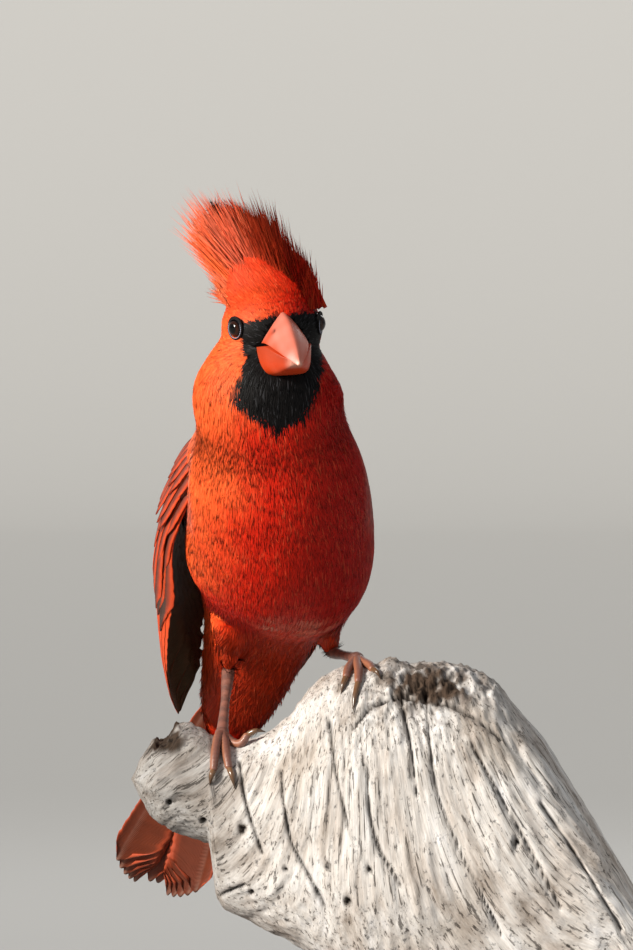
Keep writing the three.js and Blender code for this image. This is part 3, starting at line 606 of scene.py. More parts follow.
def flow_at(places, normals):
    """The way the feathers lie: from the bill back over the head, then down the body."""
    t = nearest_on_spine(places)
    tangent = spine_frame(t)[1]
    bill = on_head([0, -19, -1.0])
    away = unit(places - bill)
    down = np.array([0, 0.25, -1.0])
    head = smooth(places[:, 2], 196, 209)[:, None]
    beard = (smooth(-places[:, 1], 44, 50) * (1 - smooth(places[:, 2], 203, 209)))[:, None]
    flow = mix(tangent, mix(away, unit(away + down), beard), head)
    crest = smooth(places[:, 2], 221, 229)[:, None]
    out = smooth(places[:, 2], 232, 248)[:, None] * smooth(-places[:, 0], 2, 18)[:, None]
    upward = unit(mix(np.array([-0.42, 0.3, 0.85]), np.array([-0.75, 0.3, 0.55]), out))
    flow = mix(flow, upward, crest)
    on_thigh = np.zeros(len(places))
    for leg in LEGS.values():
        a, b = np.array(leg["knee"], float), np.array(leg["ankle"], float)
        s = np.clip(((places - a) @ (b - a)) / ((b - a) @ (b - a)), 0, 1)
        gap = np.linalg.norm(places - (a + s[:, None] * (b - a)), axis=1)
        near = (gap < through(leg["thigh"], s) + 1.2) & (s > 0.5)
        flow[near] = unit(b - a)
        on_thigh[near] = 1
    flow = flow - normals * (flow * normals).sum(-1, keepdims=True)
    return unit(flow), t, on_thigh


SPINE_T = np.linspace(0, 1, 200)
SPINE_P = spine(SPINE_T)


def nearest_on_spine(places):
    best = np.empty(len(places))
    for i in range(0, len(places), 4000):
        d = ((places[i : i + 4000, None] - SPINE_P[None]) ** 2).sum(-1)
        best[i : i + 4000] = SPINE_T[d.argmin(1)]
    return best


def scatter(obj, places, inner, normals, candidates, spacing, keep):
    """Roots on the skin, spacing(places) apart, where keep(places) is true."""
    me = obj.data
    me.calc_loop_triangles()
    tri = np.empty(len(me.loop_triangles) * 3, "i")
    me.loop_triangles.foreach_get("vertices", tri)
    tri = tri.reshape(-1, 3)
    a, b, c = (places[tri[:, k]] for k in range(3))
    area = np.linalg.norm(np.cross(b - a, c - a), axis=1)
    r = np.random.default_rng(11)
    pick = r.choice(len(tri), candidates, p=area / area.sum())
    w = r.dirichlet((1, 1, 1), candidates)
    blend = lambda arr: sum(arr[tri[pick, k]] * w[:, k : k + 1] for k in range(3))
    p, q, n = blend(places), blend(inner), unit(blend(normals))
    ok = keep(p)
    p, q, n = p[ok], q[ok], n[ok]
    gap = spacing(p)
    tree = KDTree(len(p))
    for i, v in enumerate(p):
        tree.insert(v, i)
    tree.balance()
    alive = np.ones(len(p), bool)
    for i in range(len(p)):
        if alive[i]:
            for _, j, _ in tree.find_range(p[i], gap[i]):
                if j > i:
                    alive[j] = False
    return p[alive], q[alive], n[alive]


def tufts(name, root, normal, flow, length, spread, lift, colours, bake, strands=7, width=0.42,
          stations=(0, 0.5), seed=1, curve=0.0, vary=0.14, facing=None, bend=None, noise=0.12, painted_glint_share=0.0):
    """Feathers, each a fan of fine strands. colours are those of their roots and of their tips."""
    r = np.random.default_rng(seed)
    n, k = len(root), len(stations)
    side = np.cross(normal, flow)
    a = np.linspace(-1, 1, strands)[None, :] + r.normal(0, 0.12, (n, strands))
    reach = length[:, None] * (1 - 0.28 * a**2) * r.uniform(0.86, 1.08, (n, strands))
    q = np.array([*stations, 1.0])
    fan = 0.3 + 0.7 * q**0.8
    height = lift[:, None, None] * (q - curve * q**2)[None, None]
    height = height + r.normal(0, noise, (n, strands))[..., None] * q
    if bend is not None:
        height = height - bend[:, None, None] * q**2
    sway = r.normal(0, 0.1, (n, strands))[..., None] * q**2
    along = reach[..., None] * q
    across = a[..., None] * spread[:, None, None] * fan + sway * length[:, None, None] * 0.4
    p = (
        root[:, None, None]
        + flow[:, None, None] * along[..., None]
        + side[:, None, None] * across[..., None]
        + normal[:, None, None] * height[..., None]
    )
    w = width * (1 - 0.55 * np.array(stations) ** 2) * np.ones((n, 1, 1))
    w = w * r.uniform(0.75, 1.2, (n, strands))[..., None]
    mid = p[:, :, :k]
    s3 = side[:, None, None] * w[..., None]
    up = normal[:, None, None] * (w * 0.5)[..., None]
    ring = np.stack([mid - s3, mid + s3, mid + up], 3)  # n, strands, k, 3, 3
    verts = np.concatenate([ring.reshape(n, strands, k * 3, 3), p[:, :, k:]], 2)
    per = k * 3 + 1
    tone = mix(colours[0][:, None, None], colours[1][:, None, None], q[None, None, :, None])
    tone = tone * r.uniform(1 - vary, 1 + vary, (n, strands))[..., None, None]
    if painted_glint_share:
        # A few strands carry a painted glint towards the tip, paler than their neighbours.
        pale = (r.uniform(0, 1, (n, strands)) < painted_glint_share)[..., None, None] * q[None, None, :, None]
        on_dark, on_red = np.array([0.05, 0.05, 0.055]), np.array([0.22, 0.08, 0.03])
        tone = tone + pale * mix(on_dark, on_red, smooth(tone[..., :1], 0.02, 0.2))
    tint = np.concatenate([np.repeat(tone[:, :, :k], 3, axis=2), tone[:, :, k:]], 2)
    face = normal if facing is None else facing
    lean = np.array([-0.4, 0.4, 0.0])[None, None, None, :, None] * side[:, None, None, None]
    lean = lean + face[:, None, None, None]
    lie = np.broadcast_to(unit(lean), (n, strands, k, 3, 3)).reshape(n, strands, k * 3, 3)
    lie = np.concatenate([lie, np.broadcast_to(face[:, None, None], (n, strands, 1, 3))], 2)
    patch = np.stack(np.broadcast_arrays(a[..., None] * 0.0012, (q - 0.5) * 0.0024), -1)
    uv = bake[:, None, None] + patch
    uv = np.concatenate([np.repeat(uv[:, :, :k], 3, axis=2), uv[:, :, k:]], 2)
    faces = [[0, 2, 1]]
    for j in range(k - 1):
        for e in range(3):
            u, v = j * 3 + e, j * 3 + (e + 1) % 3
            faces += [[u, v, v + 3], [u, v + 3, u + 3]]
    for e in range(3):
        faces.append([(k - 1) * 3 + e, (k - 1) * 3 + (e + 1) % 3, per - 1])
    faces = np.array(faces)
    most = MOST_TRIANGLES // (len(faces) * strands)
    for i, start in enumerate(range(0, n, most)):
        stop = min(n, start + most)
        count = (stop - start) * strands
        tris = (faces[None] + (np.arange(count) * per)[:, None, None]).reshape(-1, 3)
        flat = lambda arr, size: arr[start:stop].reshape(-1, size)
        obj = mesh_object(f"{name}_{i + 1}", flat(verts, 3), tris=tris, tint=flat(tint, 3), bake=flat(uv, 2),
                          lie=flat(lie, 3), material=FEATHER)
        placed(obj, "plumage_red")


def body_unwrap(places):
    """Each place's spot on the unwrapped skin: round and along the body, and round the bill for the head."""
    t = nearest_on_spine(places)
    at, _, back, left = spine_frame(t)
    d = places - at
    angle = np.arctan2((d * back).sum(-1), (d * left).sum(-1))
    trunk = np.stack([0.02 + 0.6 * (angle / (2 * np.pi) + 0.5), 0.02 + 0.96 * (1 - t)], -1)
    local = in_head(places)
    ahead = np.arccos(np.clip(-local[:, 1] / np.maximum(np.linalg.norm(local, axis=1), 1e-6), -1, 1)) / np.pi
    turn = np.arctan2(local[:, 2], local[:, 0])
    head = np.stack([0.81 + 0.175 * ahead * np.cos(turn), 0.5 + 0.175 * ahead * np.sin(turn)], -1)
    return np.where((places[:, 2] > 200)[:, None], head, trunk)


# Wings and tail

WING_LENGTH = 93
WINGS = {
    "right": {
        "side": -1,
        "x": [-22.5, -30.4, -35, -36.4, -32.4], "y": [-24, -9.5, 5, 20, 34], "z": [171, 152, 133, 114, 94.5],
        "turn": [97, 97, 82, 56, 44], "radius": [28, 28, 32, 42, 60], "roll": 1.0,
    },
    "left": {
        "side": 1,
        "x": [18.5, 20.5, 19, 13.5, 3.5], "y": [-19, -3, 12.5, 28.5, 43], "z": [176, 158.5, 140, 121.5, 103],
        "turn": [80, 74, 68, 62, 58], "radius": [25, 26, 27, 32, 44], "roll": 0.3,
    },
}
TAIL_ROOT = np.array([-10, 33, 112.0])
TAIL_ALONG = unit(np.array([-0.302, 0.616, -0.728]))
TAIL_LEFT = np.array([0.924, 0, -0.382])
TAIL_BACK = unit(np.cross(TAIL_ALONG, TAIL_LEFT))
if TAIL_BACK[1] < 0:
    TAIL_BACK = -TAIL_BACK


def wing_map(wing):
    def at(s):
        return np.stack([through(wing[k], s) for k in "xyz"], -1)

    def place(u, v, w):
        u, v, w = np.broadcast_arrays(np.asarray(u, float), v, w)
        s = np.clip(u / WING_LENGTH, 0, 1)
        # The folded primaries roll over the leading edge.
        w = w + wing["roll"] * smooth(u, 22, 52) * (1.6 - 0.05 * np.maximum(0, 10 - v) ** 2)
        tangent = unit(at(np.minimum(1, s + 0.03)) - at(np.maximum(0, s - 0.03)))
        lead = at(s) + tangent * (u - s * WING_LENGTH)[..., None]
        side = wing["side"]
        medial = unit(np.array([-side, 0, 0]) + side * tangent[..., :1] * tangent)
        dorsal = np.array([0, 1.0, 0]) - tangent[..., 1:2] * tangent
        dorsal = unit(dorsal - medial[..., 1:2] * medial)
        turn = np.radians(through(wing["turn"], s))[..., None]
        across = medial * np.cos(turn) + dorsal * np.sin(turn)
        out = -medial * np.sin(turn) + dorsal * np.cos(turn)
        radius = through(wing["radius"], s)
        bend = v / radius
        over = lead + across * ((radius + w) * np.sin(bend))[..., None]
        return over + out * ((radius + w) * np.cos(bend) - radius)[..., None]

    return place


def tail_map(u, v, w):
    u, v, w = np.broadcast_arrays(np.asarray(u, float), v, w)
    flat_place = TAIL_ROOT + u[..., None] * TAIL_ALONG + v[..., None] * TAIL_LEFT
    return flat_place + (w - 0.004 * v * v)[..., None] * TAIL_BACK


def blade(place, root, tip, lead, trail, edge, centre, seed, thick=0.28, rows=44, columns=12, tipness=0.35,
          bow=0.0, shaft=None, wear=0.35, edge_from=0.55, under=None, outer=None):
    """A feather's vane with its shaft, laid out by place(u, v, w): mesh arrays, colours and barb lines."""
    r = np.random.default_rng(seed)
    t = np.linspace(0, 1, rows)[:, None]
    c = np.linspace(-1, 1, columns)[None, :]
    c = np.sign(c) * np.abs(c) ** 0.85
    rounded = np.sqrt(np.clip(1 - smooth(t, 1 - tipness, 1.02) ** 1.6, 0.03, 1))
    profile = mix(0.45, 1, smooth(t, 0, 0.4)) * rounded
    width = np.where(c < 0, lead, trail) * profile
    ragged = 1 + 0.05 * np.sin(t * 97 + seed) * r.uniform(0.3, 1) + r.normal(0, 0.02, (rows, 1))
    v = mix(root[1], tip[1], t) + c * width * ragged
    length = tip[0] - root[0]
    u = root[0] + t * length - 0.06 * length * np.abs(c) ** 2 * smooth(t, 0.6, 1) * wear / 0.35
    w = mix(root[2], tip[2], t) + bow * np.sin(np.pi * t) + 0 * c
    bump = 0.22 * np.exp(-((c * width / 0.45) ** 2)) * (1 - 0.8 * t)
    camber = -0.35 * c**2
    cols = c.shape[1]
    top = place(u, v, w + camber + thick / 2 + bump)
    low = place(u, v, w + camber - thick / 2 - 0.6 * bump)
    verts = np.concatenate([top.reshape(-1, 3), low.reshape(-1, 3)])
    count = rows * cols
    up = grid_faces(rows, cols)
    down = up[:, ::-1] + count
    rim = np.concatenate([
        np.arange(cols), np.arange(1, rows) * cols + cols - 1,
        (rows - 1) * cols + np.arange(cols - 2, -1, -1), np.arange(rows - 2, 0, -1) * cols,
    ])
    nxt = np.roll(rim, -1)
    side = np.stack([rim, rim + count, nxt + count, nxt], -1)
    quads = np.concatenate([up, down, side])
    share = np.abs(c) * np.ones_like(t)
    along_edge = smooth(share, edge_from, 0.95)[..., None]
    # The outer web of a flight feather is coloured over its whole width.
    if outer is not None:
        along_edge = np.where((c < 0)[..., None], smooth(share, *outer)[..., None], along_edge * 0.4)
    colour = mix(centre, edge, along_edge)
    shaft = shaft if shaft is not None else centre * 0.5
    colour = mix(colour, shaft, (np.exp(-((c * width / 0.3) ** 2)))[..., None])
    colour = colour * (1 + 0.05 * r.normal(size=(rows, 1, 1)))
    # Without an under colour, the underside is the top's colour darkened: painted shade.
    below = colour * 0.8 if under is None else mix(colour, under * np.ones_like(colour), 0.85)
    tint = np.concatenate([colour.reshape(-1, 3), below.reshape(-1, 3)])
    barb = (t * length - np.abs(c * width) * 1.3).reshape(-1)
    return verts, quads, tint, np.concatenate([barb, barb])


def blades_object(name, made, slot):
    verts, quads, tint, barb, at = [], [], [], [], 0
    for v, q, c, b in made:
        verts.append(v)
        quads.append(q + at)
        tint.append(c)
        barb.append(b)
        at += len(v)
    verts = np.concatenate(verts)
    obj = mesh_object(name, verts, quads=np.concatenate(quads), tint=np.concatenate(tint),
                      floats={"barb": np.concatenate(barb)}, material=VANE)
    return placed(obj, slot, name)


WING_EDGE = srgb("#dc4a16")
WING_CENTRE = srgb("#4a3127")
WING_UNDER = srgb("#53452f")
COVERT_EDGE = srgb("#d94612")
TAIL_EDGE = srgb("#cc5530")
TAIL_CENTRE = srgb("#8a3f24")
LAYER = 0.8


def wing_blades(wing, seed):
    place = wing_map(wing)
    made = []
    flight = 13
    for k in range(flight):
        q = k / (flight - 1)
        w = 0.4 + 0.46 * k
        tip_u = float(through([80, 89, 93, 92, 87, 79, 75, 71, 66, 59, 50], q))
        tip_v = float(through([2.5, 3.2, 4.5, 6.5, 9, 12, 15, 18, 21, 24, 26], q))
        root = [mix(18, 8, q), mix(3, 19, q), mix(1.4, 4.6, q)]
        made.append(blade(place, root, [tip_u, tip_v, w * 0.85], 3.4, mix(12, 8.5, q), WING_EDGE, WING_CENTRE,
                          seed + k, bow=0.1 * w, tipness=0.16, edge_from=0.7, shaft=srgb("#1e1411"),
                          under=WING_UNDER, outer=(0.25, 0.7)))

    def over(v, u):
        """How high the surface under the coverts stands: rounded in front, flat over the flight feathers."""
        dome = 0.6 + 5.9 * np.sqrt(np.clip(1 - ((v - 13) / 14) ** 2, 0.03, 1))
        return mix(dome, 1.3 + 0.2 * v, smooth(u, 22, 46))

    tiers = (
        (9, 20, (56, 44), (0, 25), 3.1, 0.32, 0.35),
        (11, 13, (38, 31), (0, 25), 2.7, 0.45, 0.42),
        (11, 5, (26, 20), (0, 24), 2.4, 0.6, 0.5),
        (10, -3, (15, 10), (1, 23), 2.3, 0.6, 0.55),
    )
    for tier, (count, root_u, tips, vs, half, warm, tipness) in enumerate(tiers):
        for k in range(count):
            q = k / (count - 1)
            at = mix(vs[0], vs[1], q)
            tip_u = mix(tips[0], tips[1], q)
            lift = over(at, tip_u) + 0.25 * (k % 2) + 0.35
            centre = mix(WING_CENTRE, srgb("#9c3a22"), warm)
            root = [root_u, at, over(at, root_u) - 1.9]
            made.append(blade(place, root, [tip_u, at + 1, lift], half, half, COVERT_EDGE, centre,
                              seed + 40 + 20 * tier + k, rows=24, columns=9, tipness=tipness, edge_from=0.35,
                              bow=0.35, thick=0.24))
    # The long coverts of the outer primaries lie along the leading edge.
    for k in range(4):
        root = [16 + 2 * k, 1.2 + 1.1 * k, 0.6 + 0.4 * k]
        tip = [60 - 4.5 * k, 1.4 + 1.4 * k, 1.7 + 0.5 * k]
        made.append(blade(place, root, tip, 2.4, 2.6, WING_EDGE, WING_CENTRE, seed + 150 + k, rows=34,
            columns=9,
                          tipness=0.3, edge_from=0.6, bow=0.5))
    return made


def tail_blades():
    made = []
    for pair in range(6):
        for side in (-1, 1):
            w = (2 * LAYER if side > 0 else LAYER) if pair == 0 else -LAYER * (pair - 1)
            lateral = 1.2 if pair == 0 else 3.6 + 1.85 * pair
            length = 96 - 0.35 * pair * pair + (-2 if pair == 0 else 0)
            lead, trail = (5.5, 5.5) if pair == 0 else (3.1 + 1.6 * pair, 3.6)
            medial = lead if pair == 0 else min(lead, lateral - 0.5)
            root = [8, side * (0.6 if pair == 0 else 3.4 + 0.12 * pair), w * 0.45]
            sides = (medial, trail) if side > 0 else (trail, medial)
            made.append(blade(tail_map, root, [length, side * lateral, w], *sides, TAIL_EDGE, TAIL_CENTRE,
                              300 + pair * 2 + side, tipness=0.1, rows=56, columns=14, shaft=srgb("#c9a08c"),
                              edge_from=0.7))
    return made


# Head: bill, eyes, lids

BILL_UPPER = {
    "forward": [8, 13, 17, 21, 25, 28, 29.3], "top": [8, 7.4, 6.1, 3.9, 1, -1.8, -3.2],
    "bottom": [-2, -0.7, -0.5, -1.2, -2.3, -3.4, -3.9], "wide": [6.8, 6.7, 6.1, 4.9, 3.2, 1.4, 0.5],
}
BILL_LOWER = {
    "forward": [7, 12, 16, 20, 23, 25], "top": [-3.4, -2.1, -1.2, -1.8, -2.8, -3.6],
    "bottom": [-10.8, -10.8, -10.2, -8.8, -6.8, -5], "wide": [8.1, 8, 7.2, 5.7, 3.5, 1.2],
}
BILL_DEEP = srgb("#bf3a10")
BILL_CORAL = srgb("#c94d2c")
BILL_PINK = srgb("#d08574")
BILL_TIP = srgb("#dbb09c")


def bill_piece(name, form, keel):
    t = np.linspace(0.015, 0.985, 70)[:, None]
    angle = np.linspace(0, 2 * np.pi, 64, endpoint=False)[None, :]
    forward = through(form["forward"], t)
    edge = through(form["bottom" if keel > 0 else "top"], t)
    ridge = through(form["top" if keel > 0 else "bottom"], t)
    s, c = np.sin(angle) * keel, np.cos(angle)
    wide = through(form["wide"], t)
    full = (1 - np.abs(c) ** 1.4) ** 0.9 if keel > 0 else np.abs(s) ** 0.4
    rise = keel * np.where(s > 0, np.abs(ridge - edge) * full, 0.25 * s)
    x = wide * np.sign(c) * np.abs(c) ** (1 if keel > 0 else 0.4)
    y = -forward + 0 * x
    z = edge + rise
    if keel > 0:
        # The nostrils, under a short bristled edge.
        for side in (-1, 1):
            d = np.sqrt(((y + 14.6) / 1.15) ** 2 + ((z - 3.2) / 0.75) ** 2 + ((x - side * 5.2) / 2.0) ** 2)
            x = x - side * 0.75 * np.exp(-(d**2))
    p = on_head(np.stack([x, y, z], -1))
    ends = on_head([[0, -form["forward"][0], (form["top"][0] + form["bottom"][0]) / 2],
                    [0, -form["forward"][-1], (form["top"][-1] + form["bottom"][-1]) / 2]])
    verts, tris, quads = closed(p, ends[0], ends[1])
    share = (t * np.ones_like(x)).reshape(-1, 1)
    high = (np.clip(s, 0, 1) * np.ones_like(t)).reshape(-1, 1)
    cloud = wobble(p.reshape(-1, 3), 5, 17)[:, None]
    if keel > 0:
        # Pinker over the flat sides, partly a painted sheen where they face up; coral along the ridge and the
        # cutting edge, pale at the tip.
        colour = mix(BILL_CORAL, BILL_PINK, np.clip(0.75 * high + 0.25 * cloud, 0, 1))
        ridge_line = np.exp(-((x / 1.3) ** 2)).reshape(-1, 1) * (high > 0.5)
        colour = mix(colour, mix(BILL_CORAL, BILL_PINK, 0.3), 0.4 * ridge_line)
    else:
        # The lower half is deeper red underneath, where it faces down: painted shade.
        colour = mix(BILL_DEEP, BILL_CORAL, np.clip(0.4 * (1 - high) + 0.3 * cloud, 0, 1))
    colour = mix(colour, BILL_TIP, 0.6 * smooth(share, 0.8, 1.0))
    # Painted shade darkens the cutting edges, where the two halves meet.
    cutting_edge_shade = np.exp(-((np.sin(angle) * np.ones_like(t)).reshape(-1, 1) / 0.1) ** 2)
    colour = mix(colour, srgb("#8a3418"), 0.45 * cutting_edge_shade * (share < 0.9))
    if keel > 0:
        # The nostril openings painted dark: painted shade in them.
        nostril_shade_near = np.exp(-(((y + 14.6) / 0.9) ** 2 + ((z - 3.2) / 0.6) ** 2))
        hole = sum(nostril_shade_near * (np.sign(x) == side) for side in (-1, 1))
        colour = mix(colour, srgb("#3a1410"), np.clip(hole, 0, 1).reshape(-1, 1) * 0.9)
    placed(mesh_object(name, verts, tris, quads, tint=capped(colour), material=HORN), "bill_horn", name)


def eye_axes(side):
    centre = on_head([side * EYE_AT[0], -EYE_AT[1], EYE_AT[2]])
    outward = unit(on_head([side * (EYE_AT[0] + 9), -EYE_AT[1] - 4.5, EYE_AT[2] + 0.6]) - centre)
    up = unit(HEAD_TURN[:, 2] - outward * (HEAD_TURN[:, 2] @ outward))
    return centre, outward, up, np.cross(up, outward)


def eye_piece(side, name):
    centre, outward, up, ahead = eye_axes(side)
    theta = np.linspace(0.02, np.pi - 0.02, 60)[:, None]
    phi = np.linspace(0, 2 * np.pi, 64, endpoint=False)[None, :]
    d = (np.sin(theta) * np.cos(phi))[..., None] * ahead + (np.sin(theta) * np.sin(phi))[..., None] * up
    d = d + (np.cos(theta) * np.ones_like(phi))[..., None] * outward
    ends = centre + outward * EYE_RADIUS, centre - outward * EYE_RADIUS
    verts, tris, quads = closed(centre + EYE_RADIUS * d, *ends)
    ring = (np.degrees(theta) * np.ones_like(phi)).reshape(-1, 1)
    colour = mix(srgb("#020202"), srgb("#2c1408"), smooth(ring, 27, 30))
    colour = mix(colour, srgb("#050303"), smooth(ring, 43, 50))
    placed(mesh_object(name, verts, tris, quads, tint=capped(colour), material=EYE), "eye_gloss", name)


def lid_piece(side, name):
    """A narrow bare rim round the eye, beaded like the real one, darker above."""
    centre, outward, up, ahead = eye_axes(side)
    phi = np.linspace(0, 2 * np.pi, 240, endpoint=False)
    parts = []
    tints = []
    for lift, radius, thick, bead in ((1.78, 2.7, 0.085, 0.5), (1.5, 2.98, 0.28, 0.06)):
        r = thick * (1 + bead * np.sin(30 * phi)) * (1 + 0.7 * smooth(np.sin(phi), 0.1, 0.9))
        loop = np.cos(phi)[:, None] * ahead + 1.08 * np.sin(phi)[:, None] * up
        path = centre + outward * lift + radius * loop
        radial = unit(path - centre - outward * lift)
        ring_angle = np.linspace(0, 2 * np.pi, 12, endpoint=False)
        pts = path[:, None] + r[:, None, None] * (
            np.cos(ring_angle)[None, :, None] * radial[:, None] + np.sin(ring_angle)[None, :, None] * outward
        )
        quads = grid_faces(len(pts), 12, wrap=True)
        last = (len(pts) - 1) * 12
        c = np.arange(12)
        n = (c + 1) % 12
        quads = np.concatenate([quads, np.stack([last + c, last + n, n, c], -1)])
        parts.append((pts.reshape(-1, 3), np.empty((0, 3), int), quads))
        pale = srgb("#a3a2b4") if bead > 0.1 else srgb("#060404")
        above = smooth(np.sin(phi), 0.1, 0.7)[:, None]
        colour = mix(pale, srgb("#0c0908"), above * 0.95)
        tints.append(np.repeat(colour, 12, axis=0))
    verts, tris, quads = joined(parts)
    placed(mesh_object(name, verts, tris, quads, tint=np.concatenate(tints), material=LID), "leg_skin")


# Perch

PERCH_TOP = [
    (-43.5, 79), (-41.5, 84.5), (-39.3, 87.4), (-36.6, 90.2), (-33.2, 90.6), (-30.6, 95.4),
    (-26, 95.4), (-21, 92.6),
    (-17, 90.4), (-13, 89.2), (-6.6, 90.6), (-1.2, 93.6), (4.8, 99), (9.6, 106), (13.5, 109.6), (18.3, 112),
    (24, 113), (29.7, 113.6), (33, 115.4), (39.6, 113.2), (48.6, 113.8), (57.6, 112), (65, 108.4),
    (69.6, 102.4),
    (75.6, 95.8), (80, 90.4), (87.6, 78.4), (96.6, 63.4), (106.5, 46.9), (113, 35), (118, 26),
]
PERCH_LOW = [
    (-43.5, 78), (-41.4, 73.4), (-39, 68.8), (-36, 65.6), (-30.6, 62.8), (-24.6, 61),
    (-20.6, 59.6), (-18.6, 43),
    (-15.9, 39.4), (-6.6, 35.2), (0.3, 31.9), (6.9, 28), (15.6, 22.6), (28, 14), (60, 6), (104, 8), (118, 20),
]
PERCH_DEPTH = [
    (-43.5, 1.5), (-41, 7), (-36, 10.5), (-26, 12.5), (-16, 14), (-4, 16.5), (8, 20.5), (24, 25.5),
    (45, 28.5), (70, 30),
    (95, 28), (108, 25), (118, 19),
]
PERCH_MIDDLE = [(-43.5, 0), (-20, -0.5), (8, -2), (24, -4), (60, -4), (118, -2)]
PERCH_SQUARE = 2.4
PERCH_BOTTOM = 22.0
# Holes and cracks, as pixels of the photograph.
HOLES = [
    (169.6, 801), (203.8, 820), (347.8, 899), (286, 867), (328, 864), (243, 827), (252, 891),
    (369, 867), (515, 839),
]
CRACKS = [
    [(282, 770), (283, 792), (286, 814), (292, 841), (301, 859), (312, 879), (325, 904)],
    [(368, 763), (368, 790), (371, 819), (381, 850), (400, 881)],
    [(425, 690), (440, 800), (500, 930)],
    [(212, 899), (245, 883)],
    [(400, 695), (455, 706), (500, 735)],
    [(400, 695), (410, 740), (416, 790)],
    [(400, 695), (372, 705), (352, 728)],
    [(330, 720), (336, 770), (350, 830)],
    [(470, 740), (520, 830), (560, 905)],
    [(540, 800), (580, 860), (620, 925)],
    [(240, 760), (246, 800), (262, 850)],
]


def table(pairs, x):
    p = np.array(pairs, float)
    return np.interp(x, p[:, 0], p[:, 1])


def perch_sections(x):
    top, low = table(PERCH_TOP, x), table(PERCH_LOW, x)
    return table(PERCH_MIDDLE, x), (top + low) / 2, table(PERCH_DEPTH, x), (top - low) / 2


def signed_power(x, e):
    return np.sign(x) * np.abs(x) ** e


PIXEL = 0.3  # mm
MIDDLE_COLUMN = 278  # the pixel column at x = 0
TOP_ROW_HEIGHT = 312.4  # mm


def from_photo(pairs):
    """Places across and up, in mm, of pixels of the photograph."""
    p = np.array(pairs, float)
    return np.stack([(p[:, 0] - MIDDLE_COLUMN) * PIXEL, TOP_ROW_HEIGHT - PIXEL * p[:, 1]], -1)


